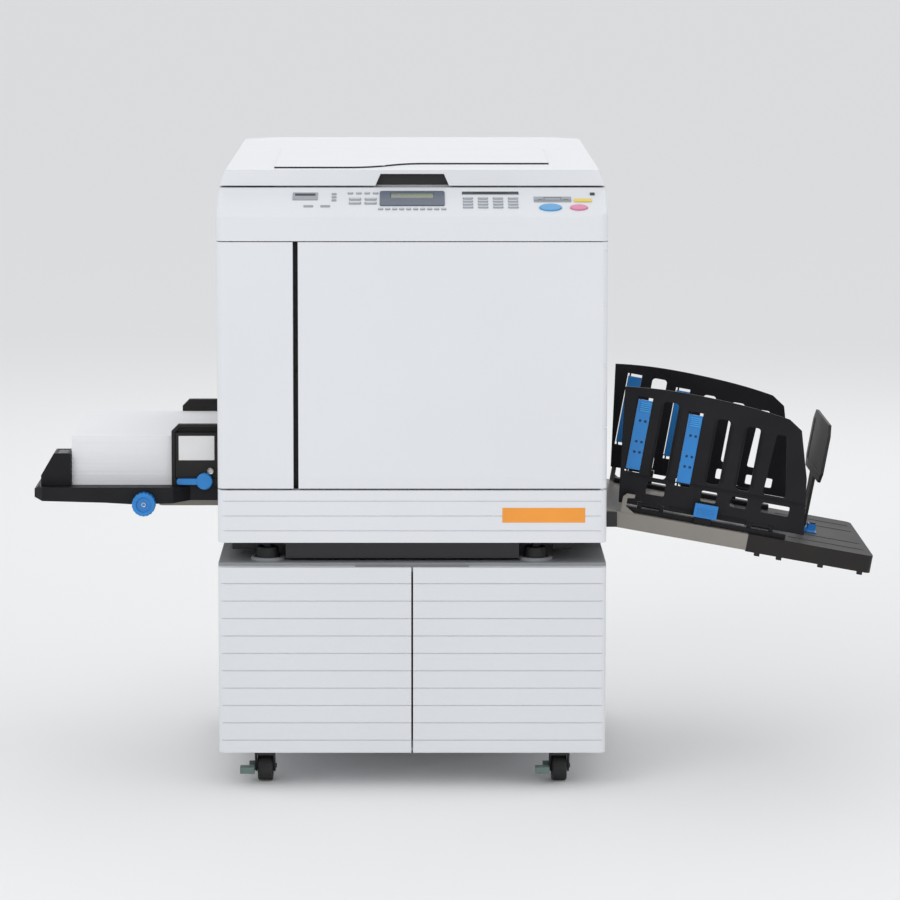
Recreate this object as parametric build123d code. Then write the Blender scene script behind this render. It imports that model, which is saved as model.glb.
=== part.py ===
from build123d import *
import math
import os

# Digital duplicator on a wheeled cabinet, millimetres.
# Working frame: x = 0 is the machine's middle, y = 0 halfway between front and back, z = 0 the floor.

# Machine body
body_width = 648.0
body_depth = 600.0
machine_bottom_z = 422.0
base_cover_height = 88.0
door_height = 412.0
seam = 3.0
shell_wall = 3.0
corner_radius = 15.0
running_gap = 0.3
fit_gap = 0.05
cover_depth = 25.0
cover_seam = 0.5

# Front of the machine
left_panel_width = 126.5
door_gap = 8.5
grooves_in_base = 3
base_groove_pitch = 25.0
door_band_height = 20.0
hinge_inset_x = 8.0
hinge_inset_y = 10.0
hinge_pin_radius = 4.0
hinge_pin_length = 10.0

# Cabinet
caster_height = 65.0
stand_panel = 18.0
stand_door_top_z = 380.0
stand_top_z = 385.0
stand_top_thickness = 16.0
stand_groove_pitch = 29.6
stand_groove_count = 10
stand_groove_first = 21.4
stand_groove_size = 2.0
stand_door_split = 3.0
stand_pivot_inset = 1.0
grip_width = 94.0
grip_height = 13.0
grip_depth = 11.0

# Feet between machine and cabinet
foot_radius = 20.0
foot_height = 21.0
foot_stem_radius = 7.0
foot_left_x = -242.0
foot_right_x = 207.0
foot_inset_y = 57.0
cup_outer_radius = 29.0
cup_inner_radius = 23.0
cup_height = 5.0

# Casters
caster_x = 249.0
caster_inset_y = 60.0
wheel_radius = 25.0
wheel_width = 26.0
caster_trail = 18.0
caster_plate = 60.0
caster_plate_thickness = 5.0
fork_wall = 3.0
fork_crown = 7.0
axle_radius = 4.0
king_pin_radius = 6.0

# Chassis
frame_plate = 3.0
front_plate_inset = 38.0
rear_plate_inset = 50.0
floor_plate = 4.0
beam_left_x = -212.0
beam_right_x = 179.0

# Scanner, glass and control panel
apron_height = 43.5
scanner_height = 81.5
panel_run = 90.0
glass_length = 450.0
glass_width = 335.0
glass_thickness = 4.0
glass_ledge = 6.0
glass_centre_y = -12.0
rail_radius = 4.0
rail_half_spacing = 150.0
carriage_width = 44.0
carriage_height = 34.0
carriage_home_x = -190.0

# Platen cover
lid_gap = 3.0
lid_front_height = 26.0
lid_rear_height = 48.0
lid_crease_y = 190.0
lid_crease_height = 32.5
lid_side_taper = 10.0
lid_crease_taper = 14.0
lid_top_taper = 22.0
lid_wall = 3.0
lid_side_inset = 1.0
pad_thickness = 7.5
pad_margin = 10.0
grip_recess_bottom = 62.0
grip_recess_top = 53.0
grip_recess_height = 19.5
grip_recess_depth = 14.0
sheet_plate_half = 232.0
sheet_plate_rise = 2.6
sheet_slot_width = 4.0
lid_hinge_x = 200.0
lid_knuckle_radius = 5.0
lid_pin_radius = 2.5
lid_knuckle_width = 10.0
lid_ear_width = 30.0

# Keys and display, places measured up the panel's slope from its front edge
key_travel = 1.5
key_height = 9.0
key_proud = 2.4
start_key_length = 37.0
start_key_width = 24.0
start_key_x = 229.0
stop_key_length = 29.0
stop_key_width = 19.0
stop_key_x = 276.0
key_up_slope = 25.0
display_x = 0.0
display_width = 108.0
display_depth = 52.0
display_up_slope = 57.0
display_rise = 2.0
small_key_rise = 1.2

# Printing drum and rollers
drum_x = 40.0
drum_z = 690.0
drum_radius = 90.0
drum_wall = 3.0
drum_shaft_radius = 8.0
drum_mouth_radius = 97.0
press_roller_radius = 30.0
roller_shaft_radius = 6.0
pickup_x = -190.0
pickup_radius = 15.0
pickup_width = 120.0
ink_bottle_radius = 36.0

# Feed side
paper_width = 297.0
paper_length = 420.0
paper_height = 85.0
paper_side_gap = 0.5
paper_end_x = -580.0
feed_table_z = 495.0
feed_lift = 105.0
feed_shift = 8.0
guide_travel = 6.5
feed_tray_end_x = -641.0
feed_tray_half = 190.0
feed_tray_rim = 2.0
feed_tray_thickness = 24.7
feed_tray_droop = 29.0
feed_neck_half = 140.0
guide_thickness = 11.0
guide_wall = 3.0
guide_end_x = -409.0
guide_inner_x = -230.0
guide_height = 105.7
feed_mouth_half = 182.0
feed_mouth_bottom_z = 448.0
feed_mouth_top_z = 722.0
bracket_end_x = -434.0
bracket_half = 120.0
bracket_height = 15.0
dial_x = -454.0
dial_z = 470.0
dial_radius = 20.0
dial_thickness = 16.0
lever_x = -353.0
lever_z = 500.0
lever_boss_radius = 13.9
lever_length = 47.0
lever_thickness = 10.0
stopper_length = 51.0
stopper_height = 55.7
stopper_depth = 55.0
stopper_travel = 9.0

# Spent-master box
bin_top_z = 900.0
bin_bottom_z = 735.0
bin_half = 150.0
bin_length = 200.0
bin_wall = 2.5

# Receiving side, built level and then tilted about its start point
tray_start_x = 330.0
tray_start_z = 458.0
tray_tilt = 10.3
tray_half = 172.0
steel_length = 246.0
steel_height = 28.0
steel_wall = 2.0
tray_length = 463.0
plastic_height = 30.0
plastic_wall = 3.0
tray_foot_drop = 5.0
tray_pivot_u = 9.0
tray_pivot_w = -14.0
tray_pin_radius = 4.0
exit_mouth_half = 182.0
exit_mouth_bottom_z = 427.0
exit_mouth_top_z = 640.0

# Fences on the receiving tray
fence_wall = 4.0
fence_inner_half = 149.0
front_fence_pivot_w = 14.0
rear_fence_pivot_w = 28.0
fence_pin_radius = 2.5
fence_knuckle_radius = 4.0
fence_foot_width = 20.0
fence_foot_height = 8.0
fin_width = 24.0
fin_height = 120.0
fin_thickness = 5.0
fin_centres = (33.0, 122.0)
fin_bottoms = (72.0, 62.0)
fin_pin_radius = 1.5
fin_swing_gap = 1.2

# End stopper on the receiving tray
end_plate_u = 357.0
end_plate_half = 115.0
end_plate_bottom = 98.0
end_plate_top = 199.0
end_plate_thickness = 5.0
end_pivot_w = 4.5
end_pin_radius = 2.0

# Power switch on the right side
switch_inset_y = 68.0
switch_z = 700.0
switch_width = 18.0
switch_height = 28.0

# Worked out from the sizes above
half_w = body_width / 2
front_y = -body_depth / 2
rear_y = body_depth / 2
base_top_z = machine_bottom_z + base_cover_height
door_bottom_z = base_top_z + seam
door_top_z = door_bottom_z + door_height
scanner_bottom_z = door_top_z + 1.5
scanner_top_z = scanner_bottom_z + scanner_height
front_plate_y = front_y + front_plate_inset
rear_plate_y = rear_y - rear_plate_inset
rear_skin_y = rear_y - 4.0
side_inner = half_w - shell_wall
panel_rear_y = front_y + panel_run
panel_edge_z = scanner_bottom_z + apron_height
panel_angle = math.degrees(math.atan2(scanner_top_z - panel_edge_z, panel_run))
door_left_x = -half_w + left_panel_width + door_gap
door_pivot_x = half_w - hinge_inset_x
door_pivot_y = front_y + hinge_inset_y
lid_bottom_z = scanner_top_z + lid_gap
lid_front_y = panel_rear_y + 2.0
lid_rear_y = rear_y - 2.0
lid_pivot_y = lid_rear_y + lid_knuckle_radius + 0.8
paper_half = paper_width / 2
guide_inner_y = paper_half + paper_side_gap
guide_outer_y = guide_inner_y + guide_thickness
lift_bottom_z = feed_table_z - feed_tray_thickness - running_gap - bracket_height
pickup_z = feed_table_z + paper_height + feed_lift + running_gap + pickup_radius
press_z = drum_z - drum_radius - running_gap - press_roller_radius
caster_y = front_y + caster_inset_y
foot_y = front_y + foot_inset_y
switch_y = front_y + switch_inset_y


def block(x0, x1, y0, y1, z0, z1):
    size = (x1 - x0, y1 - y0, z1 - z0)
    return Pos((x0 + x1) / 2, (y0 + y1) / 2, (z0 + z1) / 2) * Box(*size)


def rod_x(y, z, radius, x0, x1):
    return Pos((x0 + x1) / 2, y, z) * Rot(0, 90, 0) * Cylinder(radius, x1 - x0)


def rod_y(x, z, radius, y0, y1):
    return Pos(x, (y0 + y1) / 2, z) * Rot(90, 0, 0) * Cylinder(radius, y1 - y0)


def rod_z(x, y, radius, z0, z1):
    return Pos(x, y, (z0 + z1) / 2) * Cylinder(radius, z1 - z0)


def prism(outline, plane, length):
    """Closed outline of points, or a finished wire, pushed along a plane's normal."""
    wire = outline if isinstance(outline, Wire) else Wire(Polyline(*outline, close=True))
    return extrude(plane * make_face(wire), amount=length)


def prism_x(outline, x0, x1):
    return prism(outline, Plane((x0, 0, 0), x_dir=(0, 1, 0), z_dir=(1, 0, 0)), x1 - x0)


def prism_y(outline, y0, y1):
    return prism(outline, Plane((0, y1, 0), x_dir=(1, 0, 0), z_dir=(0, -1, 0)), y1 - y0)


def prism_z(outline, z0, z1):
    return prism(outline, Plane((0, 0, z0), x_dir=(1, 0, 0), z_dir=(0, 0, 1)), z1 - z0)


def smooth_wire(start, tops, rest):
    """Straight sides with one smooth curve through the middle points."""
    curve = Spline(*tops)
    sides = Polyline(tops[-1], *rest, start, tops[0])
    return Wire([curve] + list(sides.edges()))


def front_shell(x0, x1, z0, z1, left_round, right_round):
    """Moulded front panel, open at the back, with round outer corners."""
    solid = block(x0, x1, front_y, front_y + cover_depth, z0, z1)
    fronts = solid.edges().filter_by(Axis.Z).group_by(Axis.Y)[0].sort_by(Axis.X)
    chosen = [edge for edge, use in zip(fronts, (left_round, right_round)) if use]
    solid = fillet(chosen, corner_radius)
    inner_x0 = x0 + shell_wall
    inner_x1 = x1 - shell_wall
    inner = block(inner_x0, inner_x1, front_y + shell_wall, front_y + cover_depth + 1, z0 + shell_wall, z1 - shell_wall)
    fronts = inner.edges().filter_by(Axis.Z).group_by(Axis.Y)[0].sort_by(Axis.X)
    chosen = [edge for edge, use in zip(fronts, (left_round, right_round)) if use]
    return solid - fillet(chosen, corner_radius - shell_wall)


def stand_cabinet():
    """Open-fronted box of the cabinet, with the caster plates and their king pins."""
    z0 = caster_height
    z1 = stand_top_z - stand_top_thickness
    y0 = front_y + stand_panel + cover_seam
    shape = block(-half_w, half_w, y0, rear_y, z0, z1)
    corners = shape.edges().filter_by(Axis.Z).group_by(Axis.Y)[-1]
    shape = fillet(corners, corner_radius)
    shape -= block(-half_w + stand_panel, half_w - stand_panel, y0 - 1, rear_y - stand_panel, z0 + stand_panel, z1 + 1)
    for x in (-caster_x, caster_x):
        for y in (caster_y, -caster_y):
            half = caster_plate / 2
            plate = block(x - half, x + half, y - half, y + half, z0 - caster_plate_thickness, z0)
            pin = rod_z(x, y, king_pin_radius, z0 - caster_plate_thickness - fork_crown, z0)
            shape += plate + pin
    return shape


def stand_top():
    """Grey top board with a raised ring round each machine foot."""
    z0 = stand_top_z - stand_top_thickness
    y0 = front_y + stand_panel + cover_seam
    shape = block(-half_w, half_w, y0, rear_y, z0, stand_top_z)
    shape = fillet(shape.edges().filter_by(Axis.Z).group_by(Axis.Y)[-1], corner_radius)
    for x, y in foot_places():
        ring = rod_z(x, y, cup_outer_radius, stand_top_z, stand_top_z + cup_height)
        ring = chamfer(ring.edges().group_by(Axis.Z)[-1], 2.0)
        shape += ring - rod_z(x, y, cup_inner_radius, stand_top_z, stand_top_z + cup_height)
    return shape


def foot_places():
    return [(x, y) for x in (foot_left_x, foot_right_x) for y in (foot_y, -foot_y)]


def stand_door(side):
    """One cabinet door; side is -1 for the left one and +1 for the right one."""
    x0, x1 = sorted((side * half_w, side * stand_door_split / 2))
    z0 = caster_height
    shape = block(x0, x1, front_y, front_y + stand_panel, z0, stand_door_top_z)
    outer = shape.edges().filter_by(Axis.Z).group_by(Axis.Y)[0].sort_by(Axis.X)[0 if side < 0 else -1]
    shape = fillet(outer, stand_panel * 0.6)
    for number in range(stand_groove_count):
        z = z0 + stand_groove_first + number * stand_groove_pitch
        size = stand_groove_size
        groove = [(front_y - 1, z - size), (front_y, z - size), (front_y + size, z), (front_y, z + size / 3), (front_y - 1, z + size / 3)]
        shape -= prism_x(groove, x0 - 1, x1 + 1)
    grip_end = side * (stand_door_split / 2 + grip_width)
    top = stand_door_top_z
    slope = grip_height * 0.6
    outline = [(0, top + 1), (grip_end, top + 1), (grip_end, top), (grip_end - side * slope, top - grip_height), (0, top - grip_height)]
    return shape - prism_y(outline, front_y + stand_panel - grip_depth, front_y + stand_panel + 1)


def caster_fork(x, y):
    """Swivelling fork with its axle; the wheel trails behind the king pin."""
    top = caster_height - caster_plate_thickness - running_gap
    inner = wheel_width / 2 + running_gap + 0.7
    outer = inner + fork_wall
    wheel_y = y + caster_trail
    crown = rod_z(x, y, outer + 3.0, top - fork_crown, top)
    crown = chamfer(crown.edges().group_by(Axis.Z)[-1], 1.5)
    low = wheel_radius - axle_radius - 4.0
    side = [(y - outer, top - fork_crown + 1), (y + outer, top - fork_crown + 1)]
    side += [(wheel_y + 9.0, low), (wheel_y - 9.0, low)]
    shape = crown
    for x0 in (x - outer, x + inner):
        arm = prism_x(side, x0, x0 + fork_wall)
        bridge = block(x0, x0 + fork_wall, y - outer, y + outer, top - fork_crown - 0.5, top - fork_crown + 1)
        shape += arm + bridge
    web = block(x - outer, x + outer, y - outer, y + 4.0, top - fork_crown - 2.5, top - fork_crown + 1)
    axle = rod_x(wheel_y, wheel_radius, axle_radius, x - outer - 2, x + outer + 2)
    shape += web + axle
    return shape - rod_z(x, y, king_pin_radius + fit_gap, top - fork_crown - 0.3, top + 1)


def caster_wheel(x, y):
    """Twin-rib tread round a bored hub."""
    wheel_y = y + caster_trail
    half = wheel_width / 2
    shape = rod_x(wheel_y, wheel_radius, wheel_radius, x - half, x + half)
    shape = fillet(shape.edges().filter_by(GeomType.CIRCLE), 4.0)
    for side in (-1, 1):
        x0, x1 = sorted((x + side * half, x + side * (half - 5.0)))
        dish = rod_x(wheel_y, wheel_radius, wheel_radius - 7.0, x0, x1) - rod_x(wheel_y, wheel_radius, 8.0, x0, x1)
        shape -= dish
    return shape - rod_x(wheel_y, wheel_radius, axle_radius + fit_gap, x - half - 1, x + half + 1)


def caster_brake(x, y):
    """Foot pedal beside the fork, turning on the axle's left end."""
    wheel_y = y + caster_trail
    outer = wheel_width / 2 + running_gap + 0.7 + fork_wall
    x1 = x - outer - running_gap
    x0 = x1 - 16.0
    boss = rod_x(wheel_y, wheel_radius, 8.0, x0 + 6, x1)
    arm = block(x0 + 6, x1, wheel_y - 34, wheel_y, wheel_radius - 5, wheel_radius + 4)
    pad = block(x0 - 8, x1, wheel_y - 48, wheel_y - 30, wheel_radius - 4, wheel_radius + 8)
    pad = fillet(pad.edges().filter_by(Axis.X), 3.0)
    return boss + arm + pad - rod_x(wheel_y, wheel_radius, axle_radius + fit_gap, x1 - 3, x1 + 1)


def machine_feet():
    """Four rubber feet on screwed stems."""
    feet = []
    for x, y in foot_places():
        foot = Pos(x, y, stand_top_z + foot_height / 2) * Cone(foot_radius, foot_radius - 3.0, foot_height)
        stem = rod_z(x, y, foot_stem_radius, stand_top_z + foot_height - 1, machine_bottom_z)
        feet.append(foot + stem)
    return Compound(feet)


def chassis():
    """Black steel chassis: underside box, floor pan, front and rear frame plates, drum support."""
    low = machine_bottom_z
    floor = block(-side_inner, side_inner, front_plate_y, rear_skin_y, low, low + floor_plate)
    beam = block(beam_left_x, beam_right_x, foot_y - 24, -foot_y, stand_top_z + cup_height, low)
    wall = frame_plate
    cup_top = stand_top_z + cup_height
    beam -= block(beam_left_x + wall, beam_right_x - wall, foot_y - 24 + wall, -foot_y + 1, cup_top + wall, low)
    shape = floor + beam
    for x, y in foot_places():
        shape -= rod_z(x, y, foot_radius + 6.0, stand_top_z, low)
    for x0, x1 in ((beam_left_x - 92, beam_left_x - 54), (beam_right_x + 58, beam_right_x + 90)):
        for y in (foot_y + 30, -foot_y - 60):
            shape += block(x0, x1, y, y + 32, stand_top_z + cup_height + 6, low)
    top = scanner_bottom_z
    front = block(-side_inner, side_inner, front_plate_y, front_plate_y + frame_plate, low, top)
    rear = block(-side_inner, side_inner, rear_plate_y - frame_plate, rear_plate_y, low, top)
    front -= rod_y(drum_x, drum_z, drum_mouth_radius, front_plate_y - 1, front_plate_y + frame_plate + 1)
    for x, z, radius in ((drum_x, press_z, roller_shaft_radius), (pickup_x, pickup_z, 5.0)):
        front -= rod_y(x, z, radius + fit_gap, front_plate_y - 1, front_plate_y + frame_plate + 1)
        rear -= rod_y(x, z, radius + fit_gap, rear_plate_y - frame_plate - 1, rear_plate_y + 1)
    shape += front + rear
    bar_half = drum_mouth_radius + 14
    bar = block(drum_x - bar_half, drum_x + bar_half, front_plate_y - 6, front_plate_y, drum_z - 14, drum_z + 14)
    knob = rod_y(drum_x, drum_z, 20.0, front_plate_y - 9, front_plate_y - 6)
    shaft = rod_y(drum_x, drum_z, drum_shaft_radius, front_plate_y - 6, rear_plate_y)
    shape += bar + knob + shaft
    for side in (-1, 1):
        y0, y1 = sorted((side * (tray_half + running_gap), side * (tray_half + running_gap + 4)))
        ear_z = tray_start_z + tray_pivot_w
        ear_low = exit_mouth_bottom_z + running_gap
        ear = block(side_inner - 40, tray_start_x + 18, y0, y1, ear_low, ear_z + 9)
        shape += ear + block(side_inner - 40, side_inner, y0, y1, low, ear_low + 1)
        p0, p1 = sorted((side * (tray_half - steel_wall - 3), side * (tray_half + running_gap + 4)))
        pin_x, pin_z = tray_point(tray_pivot_u, tray_pivot_w)
        shape += rod_y(pin_x, pin_z, tray_pin_radius, p0, p1)
    return shape


def tray_point(u, w):
    """Place in the machine of a point given along and above the receiving tray."""
    angle = math.radians(tray_tilt)
    x = tray_start_x + u * math.cos(angle) + w * math.sin(angle)
    z = tray_start_z - u * math.sin(angle) + w * math.cos(angle)
    return x, z


def on_tray(shape):
    return Pos(tray_start_x, 0, tray_start_z) * Rot(0, tray_tilt, 0) * shape


def base_cover():
    """Lower front cover with three shallow grooves, and the door's lower hinge pin."""
    shape = front_shell(-half_w, half_w, machine_bottom_z, base_top_z, True, True)
    for number in range(grooves_in_base):
        z = base_top_z - 18.0 - number * base_groove_pitch
        groove = [(front_y - 1, z - 2), (front_y, z - 2), (front_y + 1.8, z), (front_y, z + 0.7), (front_y - 1, z + 0.7)]
        shape -= prism_x(groove, -half_w - 1, half_w + 1)
    for x in (-180.0, 0.0, 180.0):
        shape += rod_y(x, machine_bottom_z + base_cover_height / 2, 7.0, front_y + shell_wall - 0.5, front_plate_y)
    shape += rod_z(door_pivot_x, door_pivot_y, hinge_pin_radius, base_top_z - shell_wall, base_top_z + seam + hinge_pin_length)
    return shape


def left_front_panel():
    """Fixed upright panel left of the door."""
    x1 = -half_w + left_panel_width
    shape = front_shell(-half_w, x1, door_bottom_z, door_top_z, True, False)
    band = [(front_y - 1, door_bottom_z + door_band_height), (front_y, door_bottom_z + door_band_height),
            (front_y + 1.5, door_bottom_z), (front_y - 1, door_bottom_z)]
    shape -= prism_x(band, -half_w - 1, x1 + 1)
    for z in (door_bottom_z + 60, door_top_z - 60):
        shape += rod_y(x1 - left_panel_width / 2, z, 7.0, front_y + shell_wall - 0.5, front_plate_y)
    return shape


def front_cover():
    """Wide hinged door with a bevelled lower band, stiffening ribs and two hinge bosses."""
    shape = front_shell(door_left_x, half_w, door_bottom_z, door_top_z, False, True)
    inner_y = front_y + shell_wall - 0.5
    for z in [door_bottom_z + door_height * share for share in (0.25, 0.5, 0.75)]:
        shape += block(door_left_x + 1, half_w - 1, inner_y, front_y + 14, z - 1.25, z + 1.25)
    for number in range(1, 4):
        x = door_left_x + (half_w - door_left_x) * number / 4
        shape += block(x - 1.25, x + 1.25, inner_y, front_y + 14, door_bottom_z + 1, door_top_z - 1)
    band = [(front_y - 1, door_bottom_z + door_band_height), (front_y, door_bottom_z + door_band_height),
            (front_y + 1.5, door_bottom_z), (front_y - 1, door_bottom_z)]
    shape -= prism_x(band, door_left_x - 1, half_w + 1)
    facet = [(half_w - 133.0, front_y - 1), (half_w - 133.0, front_y), (half_w - corner_radius, front_y + 1.4), (half_w + 1, front_y + 1.4), (half_w + 1, front_y - 1)]
    shape -= prism_z(facet, door_bottom_z - 1, door_top_z + 1)
    depth = hinge_pin_length + 4
    for z0, z1 in ((door_bottom_z, door_bottom_z + depth), (door_top_z - depth, door_top_z)):
        shape += rod_z(door_pivot_x, door_pivot_y, hinge_pin_radius + 3.5, z0, z1)
        shape -= rod_z(door_pivot_x, door_pivot_y, hinge_pin_radius + fit_gap, z0 - 1, z1 + 1)
    return shape


def side_skin(side, front_edge_y):
    """Plain side wall from the base to the scanner."""
    x0, x1 = sorted((side * half_w, side * side_inner))
    return block(x0, x1, front_edge_y, rear_skin_y, machine_bottom_z, scanner_bottom_z)


def left_side_cover():
    """Left wall with the feed mouth, its drawn rim and the spent-master box's opening."""
    shape = side_skin(-1, front_y + cover_depth + cover_seam)
    rim = 5.0
    mouth = feed_mouth_half
    frame = block(-half_w, -half_w + 9, -mouth - rim, mouth + rim, feed_mouth_bottom_z - rim, feed_mouth_top_z + rim)
    shape += frame
    shape -= block(-half_w - 1, -half_w + 10, -mouth, mouth, feed_mouth_bottom_z, feed_mouth_top_z)
    gap = cover_seam
    shape -= block(-half_w - 1, -side_inner + 9, -bin_half - gap, bin_half + gap, bin_bottom_z - gap, bin_top_z + gap)
    return shape + vents(-1, 215.0, 560.0)


def vents(side, y, z):
    """Row of raised louvre hoods on a side wall."""
    x = side * half_w
    hoods = []
    for number in range(8):
        low = z + number * 11.0
        outline = [(x - side * 2, low), (x, low), (x + side * 1.6, low + 4.5), (x - side * 2, low + 4.5)]
        hoods.append(prism_y(outline, y, y + 55.0))
    return Part() + hoods


def right_side_cover():
    """Right wall with the paper exit, its rim and the power switch's surround."""
    shape = side_skin(1, front_y + cover_depth + 3.0)
    rim = 5.0
    mouth = exit_mouth_half
    z0 = exit_mouth_bottom_z
    z1 = exit_mouth_top_z
    shape += block(half_w - 9, half_w, -mouth - rim, mouth + rim, z0, z1 + rim)
    shape -= block(half_w - 10, half_w + 1, -mouth, mouth, z0, z1)
    half_y = switch_width / 2 + 4
    half_z = switch_height / 2 + 5
    shape += block(half_w - 14, half_w, switch_y - half_y, switch_y + half_y, switch_z - half_z, switch_z + half_z)
    room_y = switch_width / 2 + 0.5
    room_z = switch_height / 2 + 2.0
    shape -= block(half_w - 15, half_w + 1, switch_y - room_y, switch_y + room_y, switch_z - room_z, switch_z + room_z)
    shape -= rod_y(half_w - 5, switch_z, 1.5 + fit_gap, switch_y - half_y - 1, switch_y + half_y + 1)
    return shape + vents(1, 215.0, 700.0)


def power_switch():
    """Rocker with a shallow finger dish on each half."""
    half_y = switch_width / 2
    half_z = switch_height / 2
    x = half_w - 5
    outline = [(x - 5, switch_z - half_z), (x + 6, switch_z - half_z), (x + 4, switch_z), (x + 6, switch_z + half_z), (x - 5, switch_z + half_z)]
    shape = prism_y(outline, switch_y - half_y, switch_y + half_y)
    return shape + rod_y(x, switch_z, 1.5, switch_y - half_y - 3, switch_y + half_y + 3)


def rear_cover():
    """Back panel with two louvre fields, a carrying recess and the mains inlet."""
    top = scanner_top_z - 3.0
    shape = block(-half_w, half_w, rear_skin_y, rear_y, machine_bottom_z, top)
    shape = fillet(shape.edges().filter_by(Axis.Z).group_by(Axis.Y)[-1], 3.5)
    for x in (-220.0, 100.0):
        for number in range(10):
            z = 780.0 + number * 12.0
            shape -= block(x, x + 120.0, rear_skin_y - 1, rear_y + 1, z, z + 4.0)
    inlet_x = 230.0
    inlet_z = 480.0
    shape += block(inlet_x - 20, inlet_x + 20, rear_skin_y - 22, rear_y, inlet_z - 15, inlet_z + 15)
    shape -= block(inlet_x - 13.5, inlet_x + 13.5, rear_y - 16, rear_y + 1, inlet_z - 10, inlet_z + 10)
    for blade_x in (inlet_x - 7, inlet_x, inlet_x + 7):
        shape += block(blade_x - 1, blade_x + 1, rear_y - 17, rear_y - 4, inlet_z - 3, inlet_z + 3)
    for z in (machine_bottom_z + 30, (machine_bottom_z + top) / 2, top - 30):
        for x in (-half_w + 22, half_w - 22):
            shape += rod_y(x, z, 5.0, rear_y - 1, rear_y + 1.4)
    return shape


def control_panel():
    """Upright apron and sloping key panel in front of the scanner."""
    z0 = scanner_bottom_z
    outline = [(front_y, z0), (front_y, panel_edge_z), (panel_rear_y, scanner_top_z), (panel_rear_y, z0)]
    solid = prism_x(outline, -half_w, half_w)
    solid = fillet(solid.edges().filter_by(Axis.Z).group_by(Axis.Y)[0], corner_radius)
    lip = solid.edges().filter_by(Axis.X).group_by(Axis.Y)[0].sort_by(Axis.Z)[-1]
    solid = fillet(lip, 5.0)
    wall = shell_wall
    slope = math.radians(panel_angle)
    drop = wall / math.cos(slope)
    inner = [(front_y + wall, z0 - 1), (front_y + wall, panel_edge_z - drop), (panel_rear_y - wall, scanner_top_z - drop - wall * math.tan(slope)), (panel_rear_y - wall, z0 - 1)]
    hollow = prism_x(inner, -half_w + wall, half_w - wall)
    hollow = fillet(hollow.edges().filter_by(Axis.Z).group_by(Axis.Y)[0], corner_radius - wall)
    shape = solid - hollow
    for x, length, width in start_stop_keys():
        hole = extrude(Ellipse(length / 2 + running_gap, width / 2 + running_gap), amount=20, both=True)
        shape -= on_panel(hole, x, key_up_slope)
        tube = extrude(Ellipse(length / 2 + 2.5, width / 2 + 2.5), amount=-10)
        tube -= extrude(Ellipse(length / 2 + running_gap, width / 2 + running_gap), amount=-11)
        shape += on_panel(tube, x, key_up_slope)
    pin_top = scanner_bottom_z + shell_wall
    boss = rod_z(door_pivot_x, door_pivot_y, hinge_pin_radius, door_top_z - hinge_pin_length, pin_top)
    pad = rod_z(door_pivot_x, door_pivot_y, hinge_pin_radius + 3.0, scanner_bottom_z, scanner_bottom_z + 8)
    bridge = block(door_pivot_x - 4, half_w - 1, door_pivot_y - 4, door_pivot_y + 4, scanner_bottom_z, scanner_bottom_z + 8)
    return shape + boss + pad + bridge


def on_panel(shape, x, up_slope):
    """Place something drawn level onto the sloping panel, measured up from its front edge."""
    angle = math.radians(panel_angle)
    y = front_y + up_slope * math.cos(angle)
    z = panel_edge_z + up_slope * math.sin(angle)
    return Pos(x, y, z) * Rot(panel_angle, 0, 0) * shape


def start_stop_keys():
    return ((start_key_x, start_key_length, start_key_width), (stop_key_x, stop_key_length, stop_key_width))


def round_key(length, width):
    shape = extrude(Ellipse(length / 2, width / 2), amount=key_height)
    shape = fillet(shape.edges().group_by(Axis.Z)[-1], 1.2)
    return Pos(0, 0, key_proud - key_height) * shape


def panel_display():
    """Bezel round the message display, with the display's window let in."""
    shape = extrude(RectangleRounded(display_width, display_depth, 4.0), amount=display_rise)
    shape = chamfer(shape.edges().group_by(Axis.Z)[-1], 0.8)
    shape -= Pos(0, 9.0, display_rise - 1.0) * extrude(Rectangle(72.0, 19.0), amount=2)
    return on_panel(shape, display_x, display_up_slope)


def key_rows():
    """Key groups: middle x, place up the slope, columns, rows, pitches, key size."""
    return (
        (-178.0, 65.0, 1, 1, 10.0, 10.0, 42.0, 26.0),
        (-130.0, 62.0, 1, 3, 12.0, 11.0, 8.0, 6.0),
        (-82.0, 76.0, 4, 1, 14.0, 10.0, 9.0, 6.0),
        (-82.0, 48.0, 2, 2, 26.0, 14.0, 20.0, 8.0),
        (-158.0, 30.0, 2, 1, 28.0, 10.0, 16.0, 6.0),
        (0.0, 20.0, 10, 1, 11.6, 10.0, 8.0, 6.0),
        (130.0, 76.0, 1, 1, 10.0, 10.0, 92.0, 8.0),
        (130.0, 42.0, 4, 4, 25.0, 10.5, 17.0, 6.0),
        (233.0, 54.0, 1, 1, 10.0, 10.0, 62.0, 18.0),
        (287.0, 50.0, 1, 1, 10.0, 10.0, 21.0, 9.0),
    )


def panel_keys():
    """Low film keys and key fields on the slope."""
    keys = []
    for x, up, columns, rows, pitch_x, pitch_y, width, height in key_rows():
        key = extrude(RectangleRounded(width, height, 1.5), amount=small_key_rise)
        for column in range(columns):
            for row in range(rows):
                shift_x = (column - (columns - 1) / 2) * pitch_x
                shift_y = (row - (rows - 1) / 2) * pitch_y
                keys.append(on_panel(Pos(shift_x, shift_y, 0) * key, x, up))
    return Compound(keys)


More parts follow.
